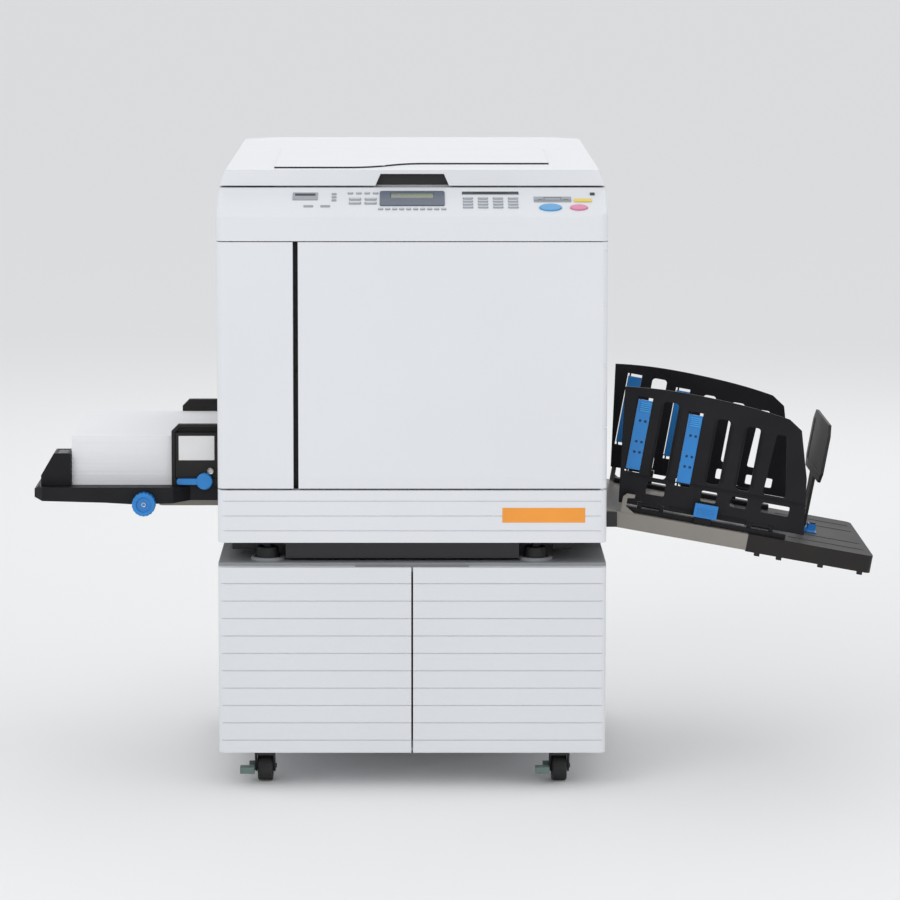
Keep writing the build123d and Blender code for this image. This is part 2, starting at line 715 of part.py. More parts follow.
def scanner_housing():
    """Scanner tub with its glass ledge, two carriage rails and the lid's hinge lugs."""
    z0 = scanner_bottom_z
    z1 = scanner_top_z
    y0 = panel_rear_y
    y1 = rear_skin_y
    wall = shell_wall
    shape = block(-half_w, half_w, y0, y1, z0, z1)
    shape -= block(-half_w + wall, half_w - wall, y0 + wall, y1 - wall, z0 + wall, z1 - wall)
    half_l = glass_length / 2
    half_g = glass_width / 2
    cy = glass_centre_y
    low = z1 - glass_thickness
    ledge = block(-half_l - 4, half_l + 4, cy - half_g - 4, cy + half_g + 4, low - wall, z1 - wall + 0.5)
    shape += ledge
    shape -= block(-half_l, half_l, cy - half_g, cy + half_g, low, z1 + 1)
    edge = glass_ledge
    shape -= block(-half_l + edge, half_l - edge, cy - half_g + edge, cy + half_g - edge, low - wall - 1, z1 + 1)
    for y in rail_places():
        shape += rod_x(y, rail_z(), rail_radius, -half_w + wall - 1, half_w - wall + 1)
    for x in (-lid_hinge_x, lid_hinge_x):
        for side in (-1, 1):
            offset = side * (lid_ear_width / 2 + running_gap + lid_knuckle_width / 2)
            a = x + offset - lid_knuckle_width / 2
            b = x + offset + lid_knuckle_width / 2
            shape += rod_x(lid_pivot_y, lid_bottom_z, lid_knuckle_radius, a, b)
            shape += block(a, b, y1 - 12, lid_pivot_y, z1 - wall, z1 + 0.5)
            shape += block(a, b, lid_pivot_y - lid_knuckle_radius, lid_pivot_y, z1 - wall, lid_bottom_z)
        reach = lid_ear_width / 2 + running_gap + lid_knuckle_width
        shape += rod_x(lid_pivot_y, lid_bottom_z, lid_pin_radius, x - reach, x + reach)
    return shape


def rail_places():
    return (glass_centre_y - rail_half_spacing, glass_centre_y + rail_half_spacing)


def rail_z():
    return scanner_bottom_z + 30.0


def scan_carriage():
    """Lamp and mirror carriage across the scanner, bored for its rails."""
    half = carriage_width / 2
    z0 = rail_z() - 10
    reach = rail_half_spacing + 14
    cy = glass_centre_y
    shape = block(carriage_home_x - half, carriage_home_x + half, cy - reach, cy + reach, z0, z0 + carriage_height)
    shape = chamfer(shape.edges().filter_by(Axis.Y).group_by(Axis.Z)[-1], 6.0)
    slot = carriage_width * 0.2
    shape -= block(carriage_home_x - slot, carriage_home_x + slot, cy - reach + 12, cy + reach - 12, z0 + carriage_height - 8, z0 + carriage_height + 1)
    for y in rail_places():
        shape -= rod_x(y, rail_z(), rail_radius + fit_gap, carriage_home_x - half - 1, carriage_home_x + half + 1)
    return shape


def platen_glass():
    half_l = glass_length / 2
    half_g = glass_width / 2
    z1 = scanner_top_z
    return block(-half_l, half_l, glass_centre_y - half_g, glass_centre_y + half_g, z1 - glass_thickness, z1)


def lid_form(inset, rise):
    """Outer form of the lid: long profile crossed with the tapered section."""
    z0 = lid_bottom_z
    front = lid_front_y + inset
    rear = lid_rear_y - inset
    top = rise - inset
    start = (front, z0 - (1 if inset else 0))
    profile = [start, (front + 3, z0 + lid_front_height + top), (lid_crease_y, z0 + lid_crease_height + top)]
    profile += [(lid_crease_y + 62, z0 + lid_rear_height - 3 + top), (rear - 10, z0 + lid_rear_height + top)]
    profile += [(rear, z0 + lid_rear_height - 12 + top), (rear, start[1])]
    half = half_w - lid_side_inset - inset
    crest = z0 + lid_rear_height + 6 + rise - inset
    low = start[1]
    left = [(-half, low), (-half + lid_side_taper, z0 + lid_front_height), (-half + lid_crease_taper, z0 + lid_crease_height)]
    left += [(-half + lid_top_taper, z0 + lid_rear_height - 3 + top)]
    right = [(-x, z) for x, z in reversed(left)]
    arch = ThreePointArc(left[-1], (0, crest), right[0])
    section = Wire([arch] + list(Polyline(*right, *left).edges()))
    return prism_x(profile, -half_w, half_w) & prism_y(section, front_y, rear_y)


def sheet_outline():
    """Plan of the raised sheet plate: left run, S-curve and right run, then straight back."""
    half = sheet_plate_half
    near = lid_front_y + 38.0
    far = near + 72.0
    back = lid_crease_y + 20.0
    curve = Spline((-half * 0.5, near), (-half * 0.2, (near + far) / 2 - 6), (half * 0.1, far), tangents=((1, 0), (1, 0)))
    sides = Polyline((half * 0.1, far), (half, far), (half, back), (-half, back), (-half, near), (-half * 0.5, near))
    return Wire([curve] + list(sides.edges()))


def platen_cover():
    """Moulded lid with a raised rear, a finger recess, ribs and the raised sheet plate."""
    outer = lid_form(0.0, 0.0)
    plate = prism_z(sheet_outline(), lid_bottom_z + lid_wall, lid_bottom_z + 60) & lid_form(0.0, sheet_plate_rise)
    behind = block(-half_w, half_w, lid_crease_y, rear_y + 1, lid_bottom_z, lid_bottom_z + 80)
    shape = outer + (plate - behind)
    slot = prism_z(sheet_outline(), lid_bottom_z + 10, lid_bottom_z + 60)
    slot = Pos(0, -sheet_slot_width, 0) * slot - slot
    slot_floor = lid_bottom_z + lid_front_height - 0.6
    slot &= block(-sheet_plate_half, sheet_plate_half, lid_front_y, lid_crease_y - 30, slot_floor, lid_bottom_z + 60)
    shape -= slot
    inner = lid_form(lid_wall, 0.0)
    grip_half = grip_recess_bottom + lid_wall
    grip_back_y = lid_front_y + grip_recess_depth + lid_wall
    hollow = inner - block(-grip_half, grip_half, lid_front_y, grip_back_y, lid_bottom_z - 2, lid_bottom_z + 60)
    rib_low = scanner_top_z + running_gap + pad_thickness
    rib_set = []
    for x in (-150.0, -50.0, 50.0, 150.0):
        rib_set.append(block(x - 1.25, x + 1.25, lid_front_y, lid_rear_y, rib_low, lid_bottom_z + 60))
    for y in (-120.0, 0.0, 120.0):
        rib_set.append(block(-half_w, half_w, y - 1.25, y + 1.25, rib_low, lid_bottom_z + 60))
    ribs = Part() + rib_set
    shape -= hollow - ribs
    z0 = lid_bottom_z
    grip = [(-grip_recess_bottom, z0 - 1), (grip_recess_bottom, z0 - 1), (grip_recess_top, z0 + grip_recess_height), (-grip_recess_top, z0 + grip_recess_height)]
    shape -= prism_y(grip, lid_front_y - 1, lid_front_y + grip_recess_depth)
    for x in (-lid_hinge_x, lid_hinge_x):
        a = x - lid_ear_width / 2
        b = x + lid_ear_width / 2
        shape += block(a, b, lid_rear_y - 1, lid_pivot_y, lid_bottom_z + 0.5, lid_bottom_z + lid_knuckle_radius * 0.7)
        shape += rod_x(lid_pivot_y, lid_bottom_z, lid_knuckle_radius, a, b)
        shape -= rod_x(lid_pivot_y, lid_bottom_z, lid_pin_radius + fit_gap, a - 1, b + 1)
    return shape


def platen_pad():
    """White backing pad that presses the original on the glass."""
    half_l = glass_length / 2 + pad_margin
    half_g = glass_width / 2 + pad_margin
    z0 = scanner_top_z + running_gap
    shape = block(-half_l, half_l, glass_centre_y - half_g, glass_centre_y + half_g, z0, z0 + pad_thickness)
    return fillet(shape.edges().filter_by(Axis.Z), 8.0)


def print_drum():
    """Ink drum: thin cylinder between two end discs, with the master clamp bar on it."""
    y0 = front_plate_y + frame_plate + 12
    y1 = rear_plate_y - frame_plate - 12
    shape = rod_y(drum_x, drum_z, drum_radius, y0, y1)
    shape -= rod_y(drum_x, drum_z, drum_radius - drum_wall, y0 + 6, y1 - 6)
    shape -= rod_y(drum_x, drum_z, drum_shaft_radius + fit_gap, y0 - 1, y1 + 1)
    flat_z = drum_z + drum_radius - 4
    shape -= block(drum_x - 14, drum_x + 14, y0 + 20, y1 - 20, flat_z + 2.5, drum_z + drum_radius + 1)
    return shape


def ink_bottle():
    y0 = front_plate_y + frame_plate + 40
    y1 = rear_plate_y - frame_plate - 60
    shape = rod_y(drum_x, drum_z, ink_bottle_radius, y0, y1)
    shape = fillet(shape.edges().filter_by(GeomType.CIRCLE), 8.0)
    return shape - rod_y(drum_x, drum_z, drum_shaft_radius, y0 - 1, y1 + 1)


def roller(x, z, radius, shaft_radius, y0, y1):
    """Rubber roller on a through shaft held in the frame plates."""
    body = rod_y(x, z, radius, y0, y1)
    body = chamfer(body.edges().filter_by(GeomType.CIRCLE), 1.5)
    shaft = rod_y(x, z, shaft_radius, front_plate_y - 4, rear_plate_y + 4)
    return body + shaft


def pressure_roller():
    reach = 20.0
    return roller(drum_x, press_z, press_roller_radius, roller_shaft_radius, front_plate_y + reach, rear_plate_y - reach)


def pickup_roller():
    return roller(pickup_x, pickup_z, pickup_radius, 5.0, -pickup_width / 2, pickup_width / 2)


def master_unit():
    """Stencil making unit, seated between the frame plates, with its master roll's bulge."""
    y0 = front_plate_y + frame_plate
    y1 = rear_plate_y - frame_plate
    x0 = drum_x + drum_radius + 18
    x1 = side_inner - 12
    z1 = scanner_bottom_z - 10
    z0 = z1 - 150
    shape = block(x0, x1, y0, y1, z0, z1)
    shape = fillet(shape.edges().filter_by(Axis.Y), 14.0)
    groove = rod_y(x0 + 20, z0 + 10, 12.0, y0 + 20, y1 - 20)
    return shape - groove


def suction_unit():
    """Belt table that carries printed sheets to the exit, on two cross bars."""
    y0 = front_plate_y + frame_plate
    y1 = rear_plate_y - frame_plate
    x0 = drum_x + drum_radius + 12
    x1 = side_inner - 4
    z = press_z + 8
    outline = [(x0, z - 18), (x0, z), (x0 + 10, z + 6), (x1 - 8, z + 22), (x1, z + 16), (x1, z - 2)]
    shape = prism_y(outline, -150, 150)
    for number in range(4):
        y = -105.0 + number * 70.0
        shape -= prism_y([(x0 - 1, z + 2), (x0 + 10, z + 4.6), (x1 - 8, z + 20.6), (x1 + 1, z + 20), (x1 + 1, z + 40), (x0 - 1, z + 40)], y - 12, y + 12)
    for x in (x0 + 30, x1 - 30):
        shape += rod_y(x, z - 4, 6.0, y0, y1)
    return shape


def disposal_box():
    """Spent-master box: open-topped drawer with a finger lip in its face."""
    x0 = -half_w
    x1 = x0 + bin_length
    wall = bin_wall
    shape = block(x0, x1, -bin_half, bin_half, bin_bottom_z, bin_top_z)
    shape = fillet(shape.edges().filter_by(Axis.Z).group_by(Axis.X)[-1], 8.0)
    shape -= block(x0 + wall, x1 - wall, -bin_half + wall, bin_half - wall, bin_bottom_z + wall, bin_top_z + 1)
    lip_z = bin_top_z - 34
    pocket = block(x0, x0 + 18, -60, 60, lip_z - 30, lip_z + 14)
    shape += pocket
    scoop = [(x0 - 1, lip_z - 26), (x0, lip_z - 26), (x0 + 15, lip_z - 10), (x0 + 15, lip_z + 11), (x0 - 1, lip_z + 11)]
    return shape - prism_y(scoop, -56, 56)


def feed_bracket():
    """Lift carriage: channel under the feed tray and the beam that climbs inside."""
    z0 = lift_bottom_z
    z1 = z0 + bracket_height
    half = bracket_half
    channel = block(bracket_end_x, -half_w + 40, -half, half, z0, z1)
    channel = fillet(channel.edges().filter_by(Axis.Z).group_by(Axis.X)[0], 8.0)
    channel -= block(bracket_end_x + 2, -half_w + 41, -half + 2, half - 2, z0 + 2, z1 + 1)
    y0 = front_plate_y + frame_plate + running_gap
    y1 = rear_plate_y - frame_plate - running_gap
    beam = block(-half_w + 38, -half_w + 52, y0, y1, z0, z1)
    return channel + beam


def feed_tray():
    """Moulded feed tray: drooping outer end, cut-back corners, narrow neck, ribs beneath."""
    top = feed_table_z + feed_tray_rim
    low = feed_table_z - feed_tray_thickness
    x0 = feed_tray_end_x
    neck_x = -half_w - 4.0
    inner_x = paper_end_x + paper_length + 4
    side = [(x0 + 6, top), (x0, top - 4), (x0, top - 18), (x0 + 14, top - 23), (-520, top - 26)]
    side += [(dial_x - 14, top - feed_tray_droop), (-410, top - feed_tray_droop + 2), (-400, low), (inner_x, low), (inner_x, top)]
    half = feed_tray_half
    step = guide_outer_y - 1.5
    plan = [(x0, -half + 14), (x0 + 14, -half), (-405, -half), (-378, -step), (neck_x, -step), (neck_x, -feed_neck_half), (inner_x, -feed_neck_half)]
    plan += [(x, -y) for x, y in reversed(plan)]
    outer = prism_y(side, -half - 1, half + 1) & prism_z(plan, low - 20, top + 1)
    wall = 2.5
    under = [(x0 + 5, low - 20), (x0 + 5, top - 9), (inner_x - wall, top - 9), (inner_x - wall, low - 20)]
    plan_in = [(x0 + 5, -half + 18), (x0 + 18, -half + wall + 1), (-407, -half + wall + 1), (-381, -step + wall), (neck_x - wall, -step + wall)]
    plan_in += [(neck_x - wall, -feed_neck_half + wall), (inner_x - wall, -feed_neck_half + wall)]
    plan_in += [(x, -y) for x, y in reversed(plan_in)]
    hollow = prism_y(under, -half, half) & prism_z(plan_in, low - 20, top)
    ribs = [block(x0, inner_x, y - 1.25, y + 1.25, low, top) for y in (-119.0, -60.0, 0.0, 60.0, 119.0)]
    ribs += [block(x - 1.25, x + 1.25, -half, half, low, top) for x in (-560.0, -480.0, -390.0, -240.0)]
    shape = outer - (hollow - (Part() + ribs))
    floor = block(x0 + 7, -407, -half + 5, half - 5, feed_table_z, top + 1)
    neck = block(-408, inner_x + 1, -half, half, feed_table_z, top + 1)
    stopper_y = -guide_outer_y - 1
    notch = block(x0 - 1, x0 + 8, stopper_y, stopper_y + stopper_depth + 2, feed_table_z, top + 1)
    shape -= floor + neck + notch
    front_wall = -half
    shape += rod_y(dial_x, dial_z, 12.0, front_wall, front_wall + 12)
    return shape + rod_y(dial_x, dial_z, 4.0, front_wall - 10, front_wall)


def feed_dial():
    """Blue side-shift dial with a fluted rim."""
    y1 = -feed_tray_half - running_gap
    y0 = y1 - dial_thickness
    shape = rod_y(dial_x, dial_z, dial_radius, y0, y1)
    shape = chamfer(shape.edges().filter_by(GeomType.CIRCLE).group_by(Axis.Y)[0], 1.5)
    flutes = 18
    for number in range(flutes):
        angle = 2 * math.pi * number / flutes
        x = dial_x + (dial_radius + 1.2) * math.cos(angle)
        z = dial_z + (dial_radius + 1.2) * math.sin(angle)
        shape -= rod_y(x, z, 2.0, y0 - 1, y1 + 1)
    shape -= rod_y(dial_x, dial_z, dial_radius - 7, y0 - 1, y0 + 3)
    shape += rod_y(dial_x, dial_z, 4.5, y0 + 1, y0 + 4)
    return shape - rod_y(dial_x, dial_z, 4.0 + fit_gap, y1 - 10.5, y1 + 1)


def paper_stack():
    x1 = paper_end_x + paper_length
    return block(paper_end_x, x1, -paper_half, paper_half, feed_table_z, feed_table_z + paper_height)


def feed_guide(side):
    """Side guide of the feed tray; side is -1 for the front one."""
    z0 = feed_table_z + running_gap
    z1 = z0 + guide_height
    inner = side * guide_inner_y
    outer = side * guide_outer_y
    x0 = guide_end_x
    x1 = guide_inner_x
    outline = [(x0, z0), (x0, z1 - 12), (x0 + 12, z1), (x1 - 60, z1), (x1, z0 + 55), (x1, z0)]
    y0, y1 = sorted((inner, outer))
    shape = prism_y(outline, y0, y1)
    w0, w1 = sorted((inner + side * guide_wall, outer + side * 1))
    pocket = [(x0 + 6, z0 + 12), (x0 + 6, z1 - 14), (x0 + 14, z1 - 5), (x1 - 64, z1 - 5), (x1 - 5, z0 + 52), (x1 - 5, z0 + 12)]
    shape -= prism_y(pocket, w0, w1)
    boss0, boss1 = sorted((inner + side * 1, outer))
    if side < 0:
        shape += rod_y(lever_x, lever_z, 7.0, boss0, boss1) & block(x0, x1, y0, y1, z0, z1)
        shape += rod_y(lever_x, lever_z + 4, 3.95, outer - 8, outer + 2)
    return shape


def guide_lock_lever():
    """Blue lock lever of the side guides."""
    y1 = -guide_outer_y - running_gap
    y0 = y1 - lever_thickness
    z = lever_z + 4
    arm = block(lever_x - lever_length, lever_x, y0 + 1, y1, z - 5.5, z + 4.5)
    arm = fillet(arm.edges().filter_by(Axis.Y).group_by(Axis.X)[0], 4.0)
    boss = rod_y(lever_x, z, lever_boss_radius, y0, y1)
    boss = chamfer(boss.edges().filter_by(GeomType.CIRCLE).group_by(Axis.Y)[0], 1.5)
    return arm + boss - rod_y(lever_x, z, 4.0, y1 - 8.5, y1 + 1)


def feed_stopper():
    """Trailing-edge stop with a leaning back."""
    x1 = paper_end_x - running_gap
    x0 = x1 - stopper_length
    z0 = feed_table_z + running_gap
    z1 = z0 + stopper_height
    y0 = -guide_outer_y
    outline = [(x0, z0), (x0, z0 + 18), (x0 + 22, z1), (x1, z1), (x1, z0)]
    shape = prism_y(outline, y0, y0 + stopper_depth)
    tops = shape.edges().filter_by(Axis.Y).group_by(Axis.Z)[-1]
    shape = fillet(tops, 2.5)
    return shape - block(x0 + 27, x1 - 5, y0 + 5, y0 + stopper_depth - 5, z1 - 1.5, z1 + 1)


def receiving_base():
    """Steel channel that carries the receiving tray from its two pivot pins."""
    half = tray_half
    shape = block(0, steel_length, -half, half, -steel_height, 0)
    shape = fillet(shape.edges().filter_by(Axis.X).group_by(Axis.Z)[-1], 3.0)
    shape -= block(-1, steel_length + 1, -half + steel_wall, half - steel_wall, -steel_height - 1, -steel_wall)
    shape += block(steel_length - 60, steel_length, -20, 20, -steel_height + 8, -1)
    for side in (-1, 1):
        y0, y1 = sorted((side * half, side * (half - steel_wall)))
        hook = [(24, -1), (24, 26), (30, 32), (44, 32), (44, 26), (32, 24), (32, 10), (50, -1)]
        shape += prism_y(hook, y0, y1)
        shape -= rod_y(tray_pivot_u, tray_pivot_w, tray_pin_radius + fit_gap, y0 - 1, y1 + 1)
    return on_tray(shape)


def receiving_tray():
    """Dark moulded outer tray: rim, ribs beneath and feet along its edges."""
    half = tray_half
    length = tray_length
    shape = block(steel_length, length, -half, half, -plastic_height, 0)
    shape = fillet(shape.edges().filter_by(Axis.Z).group_by(Axis.X)[-1], 12.0)
    wall = plastic_wall
    hollow = block(steel_length + wall, length - wall, -half + wall, half - wall, -plastic_height - 1, -wall)
    hollow = fillet(hollow.edges().filter_by(Axis.Z).group_by(Axis.X)[-1], 9.0)
    ribs = [block(steel_length, length, y - 1.25, y + 1.25, -plastic_height + 6, -1) for y in (-110.0, -40.0, 40.0, 110.0)]
    ribs += [block(x - 1.25, x + 1.25, -half + 1, half - 1, -plastic_height + 6, -1) for x in (320.0, 390.0)]
    shape -= hollow - (Part() + ribs)
    for u in (steel_length + 16, 300.0, 372.0, 440.0):
        for side in (-1, 1):
            y0, y1 = sorted((side * half, side * (half - 8)))
            shape += block(u, u + 9, y0, y1, -plastic_height - tray_foot_drop, -plastic_height + 2)
    return on_tray(shape)


def fence_outline(pivot_w):
    """Fence seen from the front: leaning left edge, one long curved top, stepped right edge."""
    low = pivot_w - 2.0
    tops = [(-5.5, 209.0), (70.0, 215.5), (154.0, 215.0), (230.0, 210.0), (281.0, 203.0)]
    return smooth_wire((20.0, low), tops, [(304.0, 188.0), (328.0, 108.0), (341.0, low)])


def fence_slots():
    """Slots as left, right, bottom, top and lean of the top; the last slot is a wedge."""
    return ((64.5, 91.0, 63.0, 196.0), (159.5, 182.5, 70.0, 183.0), (211.5, 235.5, 69.0, 179.0))


def fence_windows():
    return ((62.0, 94.0, 34.0, 56.0), (156.0, 183.0, 38.0, 57.0), (207.0, 236.0, 38.0, 56.0), (261.0, 309.0, 38.0, 55.0))


def fence(side):
    """Moulded fence with slots, windows, a stiffened rim and two fin bays; side is -1 at the front."""
    pivot_w = front_fence_pivot_w if side < 0 else rear_fence_pivot_w
    inner = side * fence_inner_half
    outer = side * (fence_inner_half + fence_wall)
    y0, y1 = sorted((inner, outer))
    shape = prism_y(fence_outline(pivot_w), y0, y1)
    for u0, u1, w0, w1 in fence_slots():
        slot = block(u0, u1, y0 - 1, y1 + 1, w0, w1)
        shape -= fillet(slot.edges().filter_by(Axis.Y), 6.0)
    wedge = prism_y([(259.0, 69.0), (299.0, 69.0), (281.0, 174.0), (264.0, 174.0)], y0 - 1, y1 + 1)
    shape -= fillet(wedge.edges().filter_by(Axis.Y), 4.0)
    for u0, u1, w0, w1 in fence_windows():
        window = block(u0, u1, y0 - 1, y1 + 1, w0, w1)
        shape -= fillet(window.edges().filter_by(Axis.Y), 3.0)
    for centre, bottom in zip(fin_centres, fin_bottoms):
        half = fin_width / 2 + running_gap
        shape -= block(centre - half - fin_swing_gap, centre + half, y0 - 1, y1 + 1, bottom - 5, bottom + fin_height + 5)
        hinge_u = fin_pivot_u(centre)
        mid = (y0 + y1) / 2
        for w in (bottom - 5, bottom + fin_height + 2):
            shape += rod_z(hinge_u, mid, fin_pin_radius, w - 3, w + 6)
    pivot_y = (y0 + y1) / 2
    for u0 in fence_knuckle_places():
        shape -= rod_x(pivot_y, pivot_w, fence_knuckle_radius + 1, u0 - 8, u0 + 38)
        shape += rod_x(pivot_y, pivot_w, fence_knuckle_radius, u0, u0 + 30)
        shape += block(u0, u0 + 30, y0, y1, pivot_w, pivot_w + 6)
        shape -= rod_x(pivot_y, pivot_w, fence_pin_radius + fit_gap, u0 - 1, u0 + 31)
    return on_tray(shape)


def fence_knuckle_places():
    return (60.0, 250.0)


def fin_pivot_u(centre):
    return centre - fin_width / 2 + 3.0


def fence_foot(side):
    """Sliding foot of a fence with the pins that the fence folds on."""
    pivot_w = front_fence_pivot_w if side < 0 else rear_fence_pivot_w
    pivot_y = side * (fence_inner_half + fence_wall / 2)
    half = fence_foot_width / 2
    top = running_gap + fence_foot_height
    shape = block(30.0, 310.0, pivot_y - half, pivot_y + half, running_gap, top)
    shape = chamfer(shape.edges().filter_by(Axis.X).group_by(Axis.Z)[-1], 2.0)
    for u0 in fence_knuckle_places():
        for a in (u0 - 7 - running_gap, u0 + 30 + running_gap):
            shape += block(a, a + 7, pivot_y - 4, pivot_y + 4, top - 3, pivot_w)
            shape += rod_x(pivot_y, pivot_w, 4.0, a, a + 7)
        shape += rod_x(pivot_y, pivot_w, fence_pin_radius, u0 - 7, u0 + 37)
    y0, y1 = sorted((side * (fence_inner_half + fence_wall + 3), side * (fence_inner_half + fence_wall + 13)))
    latch = block(150.0, 180.0, y0, y1, running_gap, 30.0)
    return on_tray(shape + fillet(latch.edges().filter_by(Axis.Y).group_by(Axis.Z)[-1], 4.0))


def fence_fin(side, index):
    """Paper-arranging fin that turns inwards out of its bay in the fence."""
    centre = fin_centres[index]
    bottom = fin_bottoms[index]
    half = fin_width / 2
    mid = side * (fence_inner_half + fence_wall / 2)
    y0 = mid - fin_thickness / 2
    y1 = mid + fin_thickness / 2
    shape = block(centre - half, centre + half, y0, y1, bottom, bottom + fin_height)
    shape = fillet(shape.edges().filter_by(Axis.Z).sort_by(Axis.X)[2:], 1.5)
    hinge_u = fin_pivot_u(centre)
    for w in (bottom - 1, bottom + fin_height - 6):
        shape -= rod_z(hinge_u, mid, fin_pin_radius + fit_gap, w, w + 7)
    return on_tray(shape)


def end_stopper_foot():
    """Sliding foot of the end stopper with its two pivot ears."""
    u = end_plate_u
    shape = block(u - 22, u + 22, -34, 34, running_gap, 1.6)
    shape -= rod_y(u, end_pivot_w, end_pivot_w, -27.5, 27.5)
    for y0 in (-34.0, 28.0):
        shape += block(u - 5, u + 5, y0, y0 + 6, 1.0, end_pivot_w)
        shape += rod_y(u, end_pivot_w, 4.0, y0, y0 + 6) & block(u - 9, u + 9, -40, 40, running_gap, 20)
    shape += rod_y(u, end_pivot_w, end_pin_radius, -34, 34)
    shape += block(u + 8, u + 22, -9, 9, 1.0, 12)
    return on_tray(shape)


def end_stopper():
    """Folding end plate with cut corners, on a ribbed stem."""
    u = end_plate_u
    half = end_plate_half
    thick = end_plate_thickness / 2
    z0 = end_plate_bottom
    z1 = end_plate_top
    cut = 18.0
    outline = [(-half + cut, z0), (half - cut, z0), (half, z0 + cut), (half, z1 - cut), (half - cut, z1), (-half + cut, z1), (-half, z1 - cut), (-half, z0 + cut)]
    shape = prism_x(outline, u - thick, u + thick)
    shape -= block(u - thick - 1, u - thick + 1, -half + 22, half - 22, z0 + 14, z1 - 14)
    stem = prism_x([(-20, end_pivot_w), (20, end_pivot_w), (26, z0 + 4), (-26, z0 + 4)], u - thick, u + thick)
    for y in (-12.0, 12.0):
        stem += block(u - thick, u + thick, y - 1.5, y + 1.5, end_pivot_w, z0)
    knuckle = rod_y(u, end_pivot_w, 3.6, -20, 20)
    shape += stem + knuckle
    return on_tray(shape - rod_y(u, end_pivot_w, end_pin_radius + fit_gap, -27, 27))


def all_nodes():
    nodes = {
        "stand_cabinet": stand_cabinet(),
        "stand_top": stand_top(),
        "machine_feet": machine_feet(),
        "chassis": chassis(),
        "base_cover": base_cover(),
        "left_front_panel": left_front_panel(),
        "left_side_cover": left_side_cover(),
        "right_side_cover": right_side_cover(),
        "rear_cover": rear_cover(),
        "scanner_housing": scanner_housing(),
        "platen_glass": platen_glass(),
        "control_panel": control_panel(),
        "panel_display": panel_display(),
        "panel_keys": panel_keys(),
        "ink_bottle": ink_bottle(),
        "master_unit": master_unit(),
        "suction_unit": suction_unit(),
        "front_cover": front_cover(),
        "platen_cover": platen_cover(),
        "platen_pad": platen_pad(),
        "stand_door_left": stand_door(-1),
        "stand_door_right": stand_door(1),
        "feed_bracket": feed_bracket(),
        "feed_tray": feed_tray(),
        "paper_stack": paper_stack(),
        "front_feed_guide": feed_guide(-1),
        "rear_feed_guide": feed_guide(1),
        "guide_lock_lever": guide_lock_lever(),
        "feed_dial": feed_dial(),
        "feed_stopper": feed_stopper(),
        "receiving_base": receiving_base(),
        "receiving_tray": receiving_tray(),
        "front_fence": fence(-1),
        "rear_fence": fence(1),
        "front_fence_foot": fence_foot(-1),
        "rear_fence_foot": fence_foot(1),
        "end_stopper": end_stopper(),
        "end_stopper_foot": end_stopper_foot(),
        "scan_carriage": scan_carriage(),
        "print_drum": print_drum(),
        "pressure_roller": pressure_roller(),
        "pickup_roller": pickup_roller(),
        "disposal_box": disposal_box(),
        "start_key": on_panel(round_key(start_key_length, start_key_width), start_key_x, key_up_slope),
        "stop_key": on_panel(round_key(stop_key_length, stop_key_width), stop_key_x, key_up_slope),
        "power_switch": power_switch(),
    }
    for name, side in (("front", -1), ("rear", 1)):
        nodes[name + "_fin_inner"] = fence_fin(side, 0)
        nodes[name + "_fin_outer"] = fence_fin(side, 1)
    for front, y in (("front", caster_y), ("rear", -caster_y)):
        for hand, x in (("left", -caster_x), ("right", caster_x)):
            nodes["caster_fork_" + front + "_" + hand] = caster_fork(x, y)
            nodes["caster_wheel_" + front + "_" + hand] = caster_wheel(x, y)
    nodes["caster_brake_left"] = caster_brake(-caster_x, caster_y)
    nodes["caster_brake_right"] = caster_brake(caster_x, caster_y)
    return nodes


def origin_shift(nodes):
    """Moves the middle of the footprint to x = 0, y = 0 and the floor to z = 0."""
    boxes = [shape.bounding_box() for shape in nodes.values()]
    x = (min(box.min.X for box in boxes) + max(box.max.X for box in boxes)) / 2
    y = (min(box.min.Y for box in boxes) + max(box.max.Y for box in boxes)) / 2
    z = min(box.min.Z for box in boxes)
    return Vector(-x, -y, -z)


def main():
    os.makedirs("parts", exist_ok=True)
    nodes = all_nodes()
    shift = origin_shift(nodes)
    for name, shape in nodes.items():
        export_step(Pos(shift) * shape, "parts/" + name + ".step")
    print("origin shift", round(shift.X, 4), round(shift.Y, 4), round(shift.Z, 4))


if __name__ == "__main__":
    main()
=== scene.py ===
"""Looks of a digital duplicator on its cabinet, built round the fixed frame of solids."""

import math
import random

import bmesh
import bpy
from bpy.props import FloatProperty, FloatVectorProperty, IntProperty, PointerProperty
from mathutils import Matrix, Vector


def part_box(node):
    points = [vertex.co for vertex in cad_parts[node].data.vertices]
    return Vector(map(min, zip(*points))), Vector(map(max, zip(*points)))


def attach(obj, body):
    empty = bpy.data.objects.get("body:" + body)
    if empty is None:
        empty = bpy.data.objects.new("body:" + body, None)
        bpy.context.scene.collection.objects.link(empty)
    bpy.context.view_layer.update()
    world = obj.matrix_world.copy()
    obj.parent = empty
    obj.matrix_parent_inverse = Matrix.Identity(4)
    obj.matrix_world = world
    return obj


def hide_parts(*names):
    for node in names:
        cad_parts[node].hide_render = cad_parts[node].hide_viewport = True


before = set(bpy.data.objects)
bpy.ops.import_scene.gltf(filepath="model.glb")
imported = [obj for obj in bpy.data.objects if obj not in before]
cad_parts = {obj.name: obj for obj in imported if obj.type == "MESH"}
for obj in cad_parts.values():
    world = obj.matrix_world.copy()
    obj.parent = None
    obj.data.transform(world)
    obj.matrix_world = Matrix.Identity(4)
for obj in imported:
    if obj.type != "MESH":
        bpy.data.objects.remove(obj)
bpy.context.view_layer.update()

bl_info = {
    "name": "Duplicator looks",
    "version": (1, 0, 0),
    "blender": (4, 5, 0),
    "location": "View3D > Sidebar > Duplicator",
    "description": "Finishes and small pieces of a digital duplicator on a cabinet",
    "category": "Object",
}

